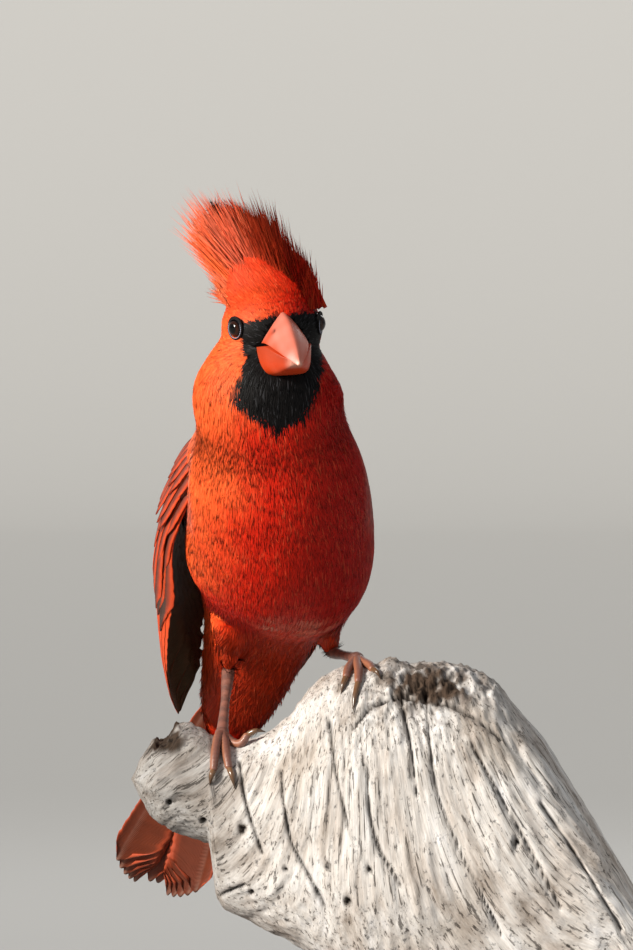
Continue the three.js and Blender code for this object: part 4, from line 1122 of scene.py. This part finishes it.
def perch_piece():
    columns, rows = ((220, 300))
    share = np.linspace(0.004, 0.996, rows)
    x = mix(-43.5, 118, share)[:, None]
    angle = np.linspace(0, 2 * np.pi, columns, endpoint=False)[None, :]
    middle, zc, depth, height = perch_sections(x)
    c, s = np.cos(angle), np.sin(angle)
    ridge = (1 - s * s * 0.9) * (0.5 * np.sin(9 * angle + 0.06 * x) + 0.4 * np.sin(5 * angle - 0.11 * x))
    y = middle + (depth + ridge) * signed_power(c, 2 / PERCH_SQUARE)
    z = zc + height * signed_power(s, 2 / PERCH_SQUARE)
    p = np.stack([x + 0 * y, y, z], -1)
    normal_y = signed_power(y - middle, 1.4) / depth**2.4
    normal_z = signed_power(z - zc, 1.4) / height**2.4
    normal = unit(np.stack([0 * y, normal_y, normal_z], -1))
    # Where the grain runs: nearly upright in the middle, leaning over to the right.
    lean = np.interp(p[..., 0], [-30, 10, 60, 100], [0.9, 0.12, -0.35, -0.62])
    across = p[..., 0] * np.cos(lean) + (p[..., 2] - 70) * -np.sin(lean)
    alongside = p[..., 0] * np.sin(lean) + (p[..., 2] - 70) * np.cos(lean)
    grain = np.stack([across, alongside * 0.09, p[..., 1] * 0.6], -1)
    rough = 0.4 * wobble(grain, 2.2, 5) + 0.5 * wobble(grain, 7, 6) + 0.3 * wobble(p, 9, 7)
    rough = rough + 0.16 * wobble(grain, 1.1, 8)
    # Broken, crumbling wood round the old knot and along the top of the short end.
    crumble = np.exp(-(((p[..., 0] - 45) / 20) ** 2 + ((p[..., 2] - 107) / 8) ** 2))
    crumble = np.maximum(crumble, smooth(-p[..., 0], 24, 32) * smooth(p[..., 2], 84, 90))
    rough = rough + crumble * (0.9 * wobble(p, 3.4, 41) + 0.5 * wobble(p, 1.7, 42))
    crack_and_hole_shade = np.zeros_like(y)
    dent = np.zeros_like(y)
    front = c < 0.2
    for crack in CRACKS:
        line = from_photo(crack)
        dense = np.stack([through(line[:, k], np.linspace(0, 1, 120)) for k in range(2)], -1)
        d = np.sqrt(((p[..., 0, None] - dense[:, 0]) ** 2 + (p[..., 2, None] - dense[:, 1]) ** 2).min(-1))
        wide = 0.42 + 0.22 * wobble(p, 6, 31)
        deep = np.exp(-((d / np.maximum(wide, 0.2)) ** 2)) * front
        dent = np.maximum(dent, 1.6 * deep)
        crack_and_hole_shade = np.maximum(crack_and_hole_shade, 0.85 * deep)
    for hole, (hx, hz) in enumerate(from_photo(HOLES)):
        d = np.hypot(p[..., 0] - hx, p[..., 2] - hz)
        deep = np.exp(-((d / (0.75 + 0.25 * (hole % 3))) ** 4)) * front
        dent = np.maximum(dent, 2.4 * deep)
        crack_and_hole_shade = np.maximum(crack_and_hole_shade, deep)
    # The wood is even where the feet stand.
    hubs = [leg["hub"] for leg in LEGS.values()]
    still = np.exp(-np.minimum(*[np.hypot(p[..., 0] - x, p[..., 1] - y + 6) for x, y, _ in hubs]) / 7)
    p = p + normal * ((rough * (1 - still) - dent))[..., None]
    p[..., 2] = np.maximum(p[..., 2], PERCH_BOTTOM + 0.02 * rough)
    ends = np.array([[-44.1, middle[0, 0], zc[0, 0]], [121, middle[-1, 0], max(zc[-1, 0], PERCH_BOTTOM)]])
    verts, tris, quads = closed(p, ends[0], ends[1])
    # Painted light and shade: lighter low down to the right, where the sun falls, and darker towards the
    # short end.
    side_light = smooth(p[..., 0], 50, 110) * smooth(110 - p[..., 2], 0, 60)
    short_end_shade = smooth(-p[..., 0], 5, 30)
    tone = np.ones(p.shape) * ((0.92 + 0.3 * side_light) * (1 - 0.45 * short_end_shade))[..., None]
    knob = crumble * smooth(wobble(p, 5, 43) + 0.9 * crumble, -0.2, 0.9)
    tone = mix(tone, tone * srgb("#6a5a4e"), np.clip(1.3 * knob, 0, 1)[..., None])
    rays = np.arctan2(p[..., 2] - 104, p[..., 0] - 39)
    from_knot = np.hypot(p[..., 0] - 39, p[..., 2] - 104)
    ray = smooth(np.sin(rays * 17 + 2 * wobble(p, 8, 44)), 0.55, 1.0) * np.exp(-from_knot / 11) * front
    tone = mix(tone, tone * srgb("#4a4038"), np.clip(1.2 * ray, 0, 0.9)[..., None])
    stain = smooth(wobble(p * np.array([1, 1, 0.5]), 24, 45), 0.2, 1.0) * 0.35
    tone = mix(tone, tone * srgb("#b7a58e"), stain[..., None])
    # Painted shade: the cracks and holes near black, over their shallow dents.
    tone = mix(tone, np.array([0.03, 0.022, 0.018]), np.clip(crack_and_hole_shade, 0, 1)[..., None])
    cut_face = (p[..., 2] < PERCH_BOTTOM + 0.4)[..., None]
    tone = np.where(cut_face, srgb("#cbb08a") * 1.1, tone)
    floats = {"across": across, "alongside": alongside, "inward": p[..., 1]}
    floats = {key: capped(values.reshape(-1)) for key, values in floats.items()}
    tint = capped(tone.reshape(-1, 3))
    placed(mesh_object("perch", verts, tris, quads, tint=tint, floats=floats, material=WOOD),
        "grey_wood", "perch")


LIFT = 0.9  # a toe's middle over the wood, mm
TIP = 0.3  # a claw's tip over the wood, mm


def lifted_off(x, d, h, lift):
    middle, zc, depth, height = (float(v) for v in perch_sections(x))
    slope = lambda share: math.copysign(abs(share) ** (PERCH_SQUARE - 1), share)
    normal = unit(np.array([0, slope(d) / depth, slope(h) / height]))
    return np.array([x, middle + d * depth, zc + h * height]) + normal * lift


def other_share(share):
    return (1 - abs(share) ** PERCH_SQUARE) ** (1 / PERCH_SQUARE)


def on_perch(x, z, lift=LIFT, side=1):
    _, zc, _, height = (float(v) for v in perch_sections(x))
    h = min(0.999, max(-0.999, (z - zc) / height))
    return lifted_off(x, -side * other_share(h), h, lift)


def over_perch(x, y, lift=LIFT):
    middle, _, depth, _ = (float(v) for v in perch_sections(x))
    d = min(0.999, max(-0.999, (y - middle) / depth))
    return lifted_off(x, d, other_share(d), lift)


TOES = {
    "right": [
        ([over_perch(-18, -5), on_perch(-18.9, 86), on_perch(-19.3, 81)], on_perch(-20.4, 77.2, TIP)),
        ([over_perch(-16, -5.5), on_perch(-15.4, 85.6), on_perch(-14.6, 81.6)], on_perch(-12.8, 76, TIP)),
        ([over_perch(-13.6, -4.5), over_perch(-11, -6), (-8.9, -6.8, 92.6)], (-3.6, -7.6, 93)),
        ([over_perch(-17, 1.5), over_perch(-17.4, 5.5), on_perch(-17.8, 86, side=-1)],
         on_perch(-18, 81, TIP, -1)),
    ],
    "left": [
        ([over_perch(21.8, -8.5), over_perch(20.8, -12.5), over_perch(20.4, -15.5)], over_perch(18.8,
            -19, TIP)),
        ([over_perch(23.9, -10), over_perch(24.1, -14.5), over_perch(24, -18.5)], over_perch(22.2,
            -23.5, TIP)),
        ([over_perch(26, -8.5), over_perch(27.6, -11.8), over_perch(28.4, -14.6)], over_perch(30.8,
            -18.5, TIP)),
        ([over_perch(24.2, 0), over_perch(24.8, 4), over_perch(25.2, 7.5)], over_perch(25.6, 12, TIP)),
    ],
}
LEG_PINK = srgb("#8a5a4c")
LEG_GREY = srgb("#4e3f3b")
PAD = srgb("#9a6248")


def scutes(pitch, depth):
    """Overlapping plates round a limb: each starts high and slopes to the next."""

    def ripple(s, angle):
        phase = np.mod(s / pitch + 0.08 * np.sin(angle), 1)
        return 1 + depth * (0.5 - phase) * smooth(np.cos(angle - np.pi / 2), -0.6, 0.3)

    return ripple


def leg_pieces(name, leg, toes):
    ankle, hub = np.array(leg["ankle"], float), np.array(leg["hub"], float)
    heel = ankle + np.array([0, 1.3, 0.8])
    route = [heel, mix(ankle, hub, 0.12), mix(ankle, hub, 0.5), mix(ankle, hub, 0.88), hub]
    verts, tris, quads, s = limb_form(route, [1.95, 1.75, 1.35, 1.5, 1.8], 32, 150, scutes(2.1, 0.16))
    shade_row = mix(LEG_PINK, LEG_GREY, (0.5 + 0.5 * np.sin(s * 40))[:, None] * 0.5)
    tint = np.repeat(shade_row, 32, axis=0)
    shank = mesh_object("shank_" + name, verts, tris, quads, tint=capped(tint), material=LEG)
    placed(shank, "leg_skin", "shank_" + name)
    parts, tints = [], []
    for path, _ in toes:
        v, t, q, s = limb_form([hub, *path], [1.6, 1.35, 1.28, 1.1], 28, 110, scutes(1.35, 0.18))
        parts.append((v, t, q))
        angle = np.linspace(0, 2 * np.pi, 28, endpoint=False)[None, :]
        under = smooth(-np.sin(angle), 0.1, 0.8) * np.ones((110, 1))
        colour = mix(mix(LEG_PINK, LEG_GREY, 0.3), PAD, under[..., None]).reshape(-1, 3)
        tints.append(capped(colour))
    t = np.linspace(0.03, np.pi - 0.03, 24)[:, None]
    a = np.linspace(0, 2 * np.pi, 32, endpoint=False)[None, :]
    ball = hub + 2.15 * np.stack([np.sin(t) * np.cos(a), np.sin(t) * np.sin(a), np.cos(t) + 0 * a], -1)
    parts.append(closed(ball, hub + [0, 0, 2.15], hub - [0, 0, 2.15]))
    tints.append(np.ones((24 * 32 + 2, 3)) * mix(LEG_PINK, LEG_GREY, 0.4))
    verts, tris, quads = joined(parts)
    foot = mesh_object("foot_" + name, verts, tris, quads, tint=np.concatenate(tints), material=LEG)
    placed(foot, "leg_skin", "foot_" + name)
    for k, (path, tip) in enumerate(toes):
        end, before = np.array(path[-1], float), np.array(path[-2], float)
        start = end - unit(end - before) * 0.6
        middle = mix(start, np.array(tip, float), 0.5) + np.array([0, -0.7, 0.9])
        v, t, q, s = limb_form([start, middle, tip], [0.95, 0.75, 0.12], 20, 40)
        colour = np.repeat(mix(srgb("#7d5a3e"), srgb("#3a2c22"), s[:, None]), 20, axis=0)
        claw_name = f"claw_{name}_{k + 1}"
        placed(mesh_object(claw_name, v, t, q, tint=capped(colour), material=CLAW), "claw_horn", claw_name)


# Crest

CREST_OUTLINE = {
    "x": [12.6, 10.5, 7.2, 3.3, -1.2, -4.8, -8.7, -12, -16.5, -22.6, -27.3, -29.1, -24, -20.5, -19, -18.5],
    "y": [-44, -42, -39, -36, -33, -30, -28, -26, -25, -24, -23, -22, -22, -22, -22, -23],
    "z": [222, 230, 236.8, 240.4, 244.9, 250, 253.9, 250, 252, 256, 251.5, 248.5, 242.5, 238, 232, 226],
}


def crest_pieces():
    r = np.random.default_rng(21)
    count = 1150
    q = r.uniform(0.1, 1, count)
    depth = r.uniform(0, 1, count)
    outline = np.stack([through(CREST_OUTLINE[k], q) for k in "xyz"], -1)
    root = on_head(np.stack([mix(11, -10, np.clip(1.2 * q - 0.2, 0, 1)) + r.normal(0, 1.4, count),
                             mix(-10, 8, 0.15 + 0.45 * q + 0.35 * depth), 7 + 0 * q], -1))
    reach = mix(0.4, 1.08, r.uniform(0, 1, count) ** 0.5) * mix(1, 0.92, depth)
    backward = mix(-2.5, -9, depth) * np.where(depth < 0.3, -0.5, 0.6)
    tip = mix(root, outline, reach[:, None]) + np.stack([0 * q, backward, 0 * q], -1)
    way = tip - root
    length = np.linalg.norm(way, axis=1)
    flow = unit(way + 0.06 * length[:, None] * r.normal(size=(count, 3)))
    rear_or_front = np.where(depth > 0.6, 1.0, -1.0)
    out = unit(np.stack([r.normal(-0.3, 0.3, count), rear_or_front, r.normal(0.2, 0.2, count)], -1))
    normal = unit(out - flow * (out * flow).sum(-1, keepdims=True))
    # The crest is shaded as one rounded form, and not strand by strand.
    half_way = mix(root, tip, 0.55)
    core = np.stack([np.interp(half_way[:, 2], CREST_CORE["z"], CREST_CORE[k]) for k in "xy"], -1)
    off = half_way[:, :2] - core
    facing = unit(np.column_stack([off[:, 0] / 12, off[:, 1] / 14 - 0.45, np.full(count, 0.25)]))
    lit = np.clip(mix(-0.1, 1.1, q) + r.normal(0, 0.15, count), 0, 1)[:, None]
    base_tone = mix(DEEP_RED, ORANGE, 0.7 * lit)
    pale = np.clip(r.normal(0.3, 0.2, count), 0, 1) * smooth(q, 0.3, 0.7)
    tip_tone = mix(mix(RED, ORANGE, 0.8 * lit), srgb("#ec8a68"), pale[:, None])
    bake = np.stack([0.05 + 0.9 * q, 0.05 + 0.9 * depth], -1)
    spread, lift = np.full(count, 1.7), np.full(count, 0.7)
    tufts("crest", root, normal, flow, length, spread, lift, (base_tone, tip_tone), bake, strands=8,
        width=0.17,
          stations=(0, 0.35, 0.7), seed=22, curve=0.6, vary=0.14, facing=facing)
    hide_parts("crest")


# Stand


def stand_pieces():
    width, deep, thick, corner = 178.0, 170.0, 10.0, 12.0
    outline = []
    for cx, cy, start in ((1, -1, -90), (1, 1, 0), (-1, 1, 90), (-1, -1, 180)):
        for a in np.radians(np.linspace(start, start + 90, 17)):
            across = cx * (width / 2 - corner) + corner * math.cos(a)
            outline.append((across, cy * (deep / 2 - corner) + corner * math.sin(a)))
    ring = np.array(outline)
    # Heights, and how far the rounded edge is drawn in at each.
    levels = [(0, 0.6), (0.6, 0), (thick - 1.6, 0), (thick - 0.8, 0.35), (thick - 0.2, 1.0), (thick, 1.8)]
    rows = []
    for z, inset in levels:
        scale = np.array([(width / 2 - inset) / (width / 2), (deep / 2 - inset) / (deep / 2)])
        rows.append(np.column_stack([ring * scale, np.full(len(ring), z)]) + BASE_AT)
    pts = np.array(rows)
    verts, tris, quads = closed(pts, BASE_AT, BASE_AT + [0, 0, thick])
    placed(mesh_object("stand_base", verts, tris, quads, material=STAINED), "base_wood", "stand_base")
    for k, (x, y) in enumerate(((45, -12), (82, 12))):
        a = np.linspace(0, 2 * np.pi, 48, endpoint=False)
        circle = np.stack([np.cos(a), np.sin(a)], -1) * 4.0
        pts = np.array([np.column_stack([circle + [x, y], np.full(48, z)]) for z in (10.3, 10.8, 21.2, 21.7)])
        verts, tris, quads = closed(pts, np.array([x, y, 10.3]), np.array([x, y, 21.7]))
        name = f"stand_rod_{k + 1}"
        placed(mesh_object(name, verts, tris, quads, material=STEEL), "rod_steel", name)


# The bird

skin, surface, inner, normals = make_skin()
colour = coat_colour(surface, normals)
layer = skin.data.attributes.new("tint", "FLOAT_COLOR", "POINT")
rgba = np.ones((len(surface), 4), "f")
rgba[:, :3] = np.clip(colour, 0, 1)
layer.data.foreach_set("color", rgba.ravel())
placed(skin, "plumage_red", "head", "neck", "torso", "thigh_right", "thigh_left")


def near_bill(p):
    return np.linalg.norm(in_head(p) - np.array([0, -14, -1.5]), axis=1)


def root_spacing(p):
    face = 1 - smooth(near_bill(p), 9, 20)
    head = smooth(p[:, 2], 196, 206)
    return mix(mix(1.22, 0.95, head), 0.66, face * head) * 1


def in_bill(local, form, keel):
    """Whether places in the head's frame are inside one half of the bill."""
    f = -local[:, 1]
    tt = np.linspace(0, 1, 60)
    t = np.interp(f, through(form["forward"], tt), tt)
    edge = through(form["bottom" if keel > 0 else "top"], t)
    ridge = through(form["top" if keel > 0 else "bottom"], t)
    c = np.abs(local[:, 0]) / through(form["wide"], t)
    rise = keel * (local[:, 2] - edge) / np.abs(ridge - edge)
    power, root = (1.4, 0.9) if keel > 0 else (3.3, 0.3)
    limit = np.where(c < 1, (1 - np.clip(c, 0, 1) ** power) ** root, 0)
    return (f > 8) & (c < 1) & (rise < limit) & (rise > -0.2)


def root_allowed(p):
    local = in_head(p)
    clear = ~in_bill(local, BILL_UPPER, 1) & ~in_bill(local, BILL_LOWER, -1)
    clear &= (p[:, 0] > -29) | (p[:, 2] > 185)  # none outside the folded wing
    for side in (-1, 1):
        centre, outward, _, _ = eye_axes(side)
        d = p - centre
        off_axis = np.linalg.norm(d - (d @ outward)[:, None] * outward, axis=1)
        clear &= ~((off_axis < 3.2) & (d @ outward > 0))
    return clear


candidates = 130000
roots, deep, outs = scatter(skin, surface, inner, normals, candidates, root_spacing, root_allowed)
flow, t_body, thigh = flow_at(roots, outs)
face_near = 1 - smooth(near_bill(roots), 10, 24)
head_share = smooth(roots[:, 2], 196, 206)
length = mix(mix(7.5, 10.5, smooth(t_body, 0.45, 0.8)), mix(5.5, 2.4, face_near), head_share)
length = mix(length, 9.5, smooth(roots[:, 2], 222, 236))
length = np.where(thigh > 0, 4.2, length)
length *= np.random.default_rng(5).uniform(0.85, 1.15, len(length))
tone = coat_colour(roots + flow * length[:, None] * 0.55, outs)
width = 0.26 * length
lift = 0.4 * np.random.default_rng(6).uniform(0.8, 1.15, len(length))
vary = np.random.default_rng(8).uniform(0.9, 1.1, (len(tone), 1))
# Each feather bends most of the way back to the skin below its tip.
tree = BVHTree.FromObject(skin, bpy.context.evaluated_depsgraph_get())
bend = []
for tip, out in zip((deep + flow * length[:, None] - BASE_AT) * 0.001, outs):
    near, over, _, _ = tree.find_nearest(Vector(tip))
    bend.append(1000 * over.dot(Vector(tip) - near) / max(0.5, over.dot(Vector(out))))
bend = 0.95 * np.clip(bend, -2.5, 4)
# The roots are darker and redder than the tips: partly the feathers' own colour, partly painted shade in the
# gaps between them.
tones = tone * [0.85, 0.6, 0.5], tone * vary
tufts("plumage", deep, outs, flow, length, width, lift, tones, body_unwrap(roots), strands=8, width=0.24,
      stations=(0, 0.5), seed=9, curve=0.5, vary=0.16, bend=bend, noise=0.05, painted_glint_share=0.1)
crest_pieces()

for (side_name, wing), seed in zip(WINGS.items(), (100, 200)):
    blades_object("wing_" + side_name, wing_blades(wing, seed), "plumage_flight")
blades_object("tail", tail_blades(), "plumage_flight")
bill_piece("bill_upper", BILL_UPPER, 1)
bill_piece("bill_lower", BILL_LOWER, -1)
for side, side_name in ((-1, "right"), (1, "left")):
    eye_piece(side, "eye_" + side_name)
    lid_piece(side, "lids_" + side_name)
    leg_pieces(side_name, LEGS[side_name], TOES[side_name])
perch_piece()
stand_pieces()


# Floor, light and camera


def plain(name, colour, rough=0.9):
    m = bpy.data.materials.new(name)
    m.use_nodes = True
    bsdf = m.node_tree.nodes["Principled BSDF"]
    bsdf.inputs["Base Color"].default_value = (*colour, 1)
    bsdf.inputs["Roughness"].default_value = rough
    bsdf.inputs["Specular IOR Level"].default_value = 0.1
    return m


# The floor runs back level, then curves up far behind, so that no edge shows.
curve = np.linspace(0, math.pi / 2, 24)
sweep = [(7.5 + 2.5 * math.sin(a), 2.5 - 2.5 * math.cos(a)) for a in curve]
profile = [(-9.0, 0.0), (7.5, 0.0), *sweep, (10.0, 6.0)]
floor_corners = [(x, y, z) for y, z in profile for x in (-9, 9)]
floor_faces = [(2 * k, 2 * k + 1, 2 * k + 3, 2 * k + 2) for k in range(len(profile) - 1)]
floor_mesh = bpy.data.meshes.new("floor")
floor_mesh.from_pydata(floor_corners, [], floor_faces)
floor_mesh.polygons.foreach_set("use_smooth", [True] * len(floor_mesh.polygons))
floor = bpy.data.objects.new("floor", floor_mesh)
bpy.context.scene.collection.objects.link(floor)
floor_mesh.materials.append(plain("pale_floor", (0.46, 0.46, 0.455)))
floor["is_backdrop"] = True

bpy.context.scene.view_settings.view_transform = "Standard"
world = bpy.data.worlds.new("studio")
bpy.context.scene.world = world
world.use_nodes = True
world.node_tree.nodes["Background"].inputs["Color"].default_value = (0.80, 0.83, 0.87, 1)
world.node_tree.nodes["Background"].inputs["Strength"].default_value = 0.3


def soft_light(name, at, aim, size, power, colour=(1, 1, 1)):
    data = bpy.data.lights.new(name, "AREA")
    data.shape = "DISK"
    data.size = size
    data.energy = power
    data.color = colour
    obj = bpy.data.objects.new(name, data)
    obj.location = at
    obj.rotation_euler = (Vector(aim) - Vector(at)).to_track_quat("-Z", "Y").to_euler()
    bpy.context.scene.collection.objects.link(obj)


AIM = ((11.55 - 32) * 0.001, -0.013, 0.1699)
sun = bpy.data.lights.new("key", "SUN")
sun.energy = 5.4
sun.angle = math.radians(12)
sun.color = (1, 0.95, 0.87)
sun_object = bpy.data.objects.new("key", sun)
sun_object.rotation_euler = Vector((1.35, 1.0, -0.7)).to_track_quat("-Z", "Y").to_euler()
bpy.context.scene.collection.objects.link(sun_object)
soft_light("fill", (1.3, -1.0, 0.5), AIM, 1.4, 1.6, (0.92, 0.96, 1))
soft_light("back", (0.5, 1.3, 1.1), AIM, 0.9, 4)

ELEVATION, DISTANCE = math.radians(1), 6.0
SENSOR = 36  # mm
VIEW_HEIGHT = 0.285  # the photograph's height at the bird, m
camera_data = bpy.data.cameras.new("camera")
camera_data.sensor_width = SENSOR
camera_data.sensor_fit = "AUTO"
camera_data.lens = SENSOR * DISTANCE / VIEW_HEIGHT
camera_data.clip_end = 50
camera = bpy.data.objects.new("camera", camera_data)
camera.location = (AIM[0], AIM[1] - DISTANCE * math.cos(ELEVATION), AIM[2] + DISTANCE * math.sin(ELEVATION))
camera.rotation_euler = (Vector(AIM) - camera.location).to_track_quat("-Z", "Y").to_euler()
bpy.context.scene.collection.objects.link(camera)
bpy.context.scene.camera = camera

as_list = lambda box: [[float(v) for v in corner] for corner in box]
{"cad": as_list(CAD_BOX), "visual": as_list(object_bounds())}
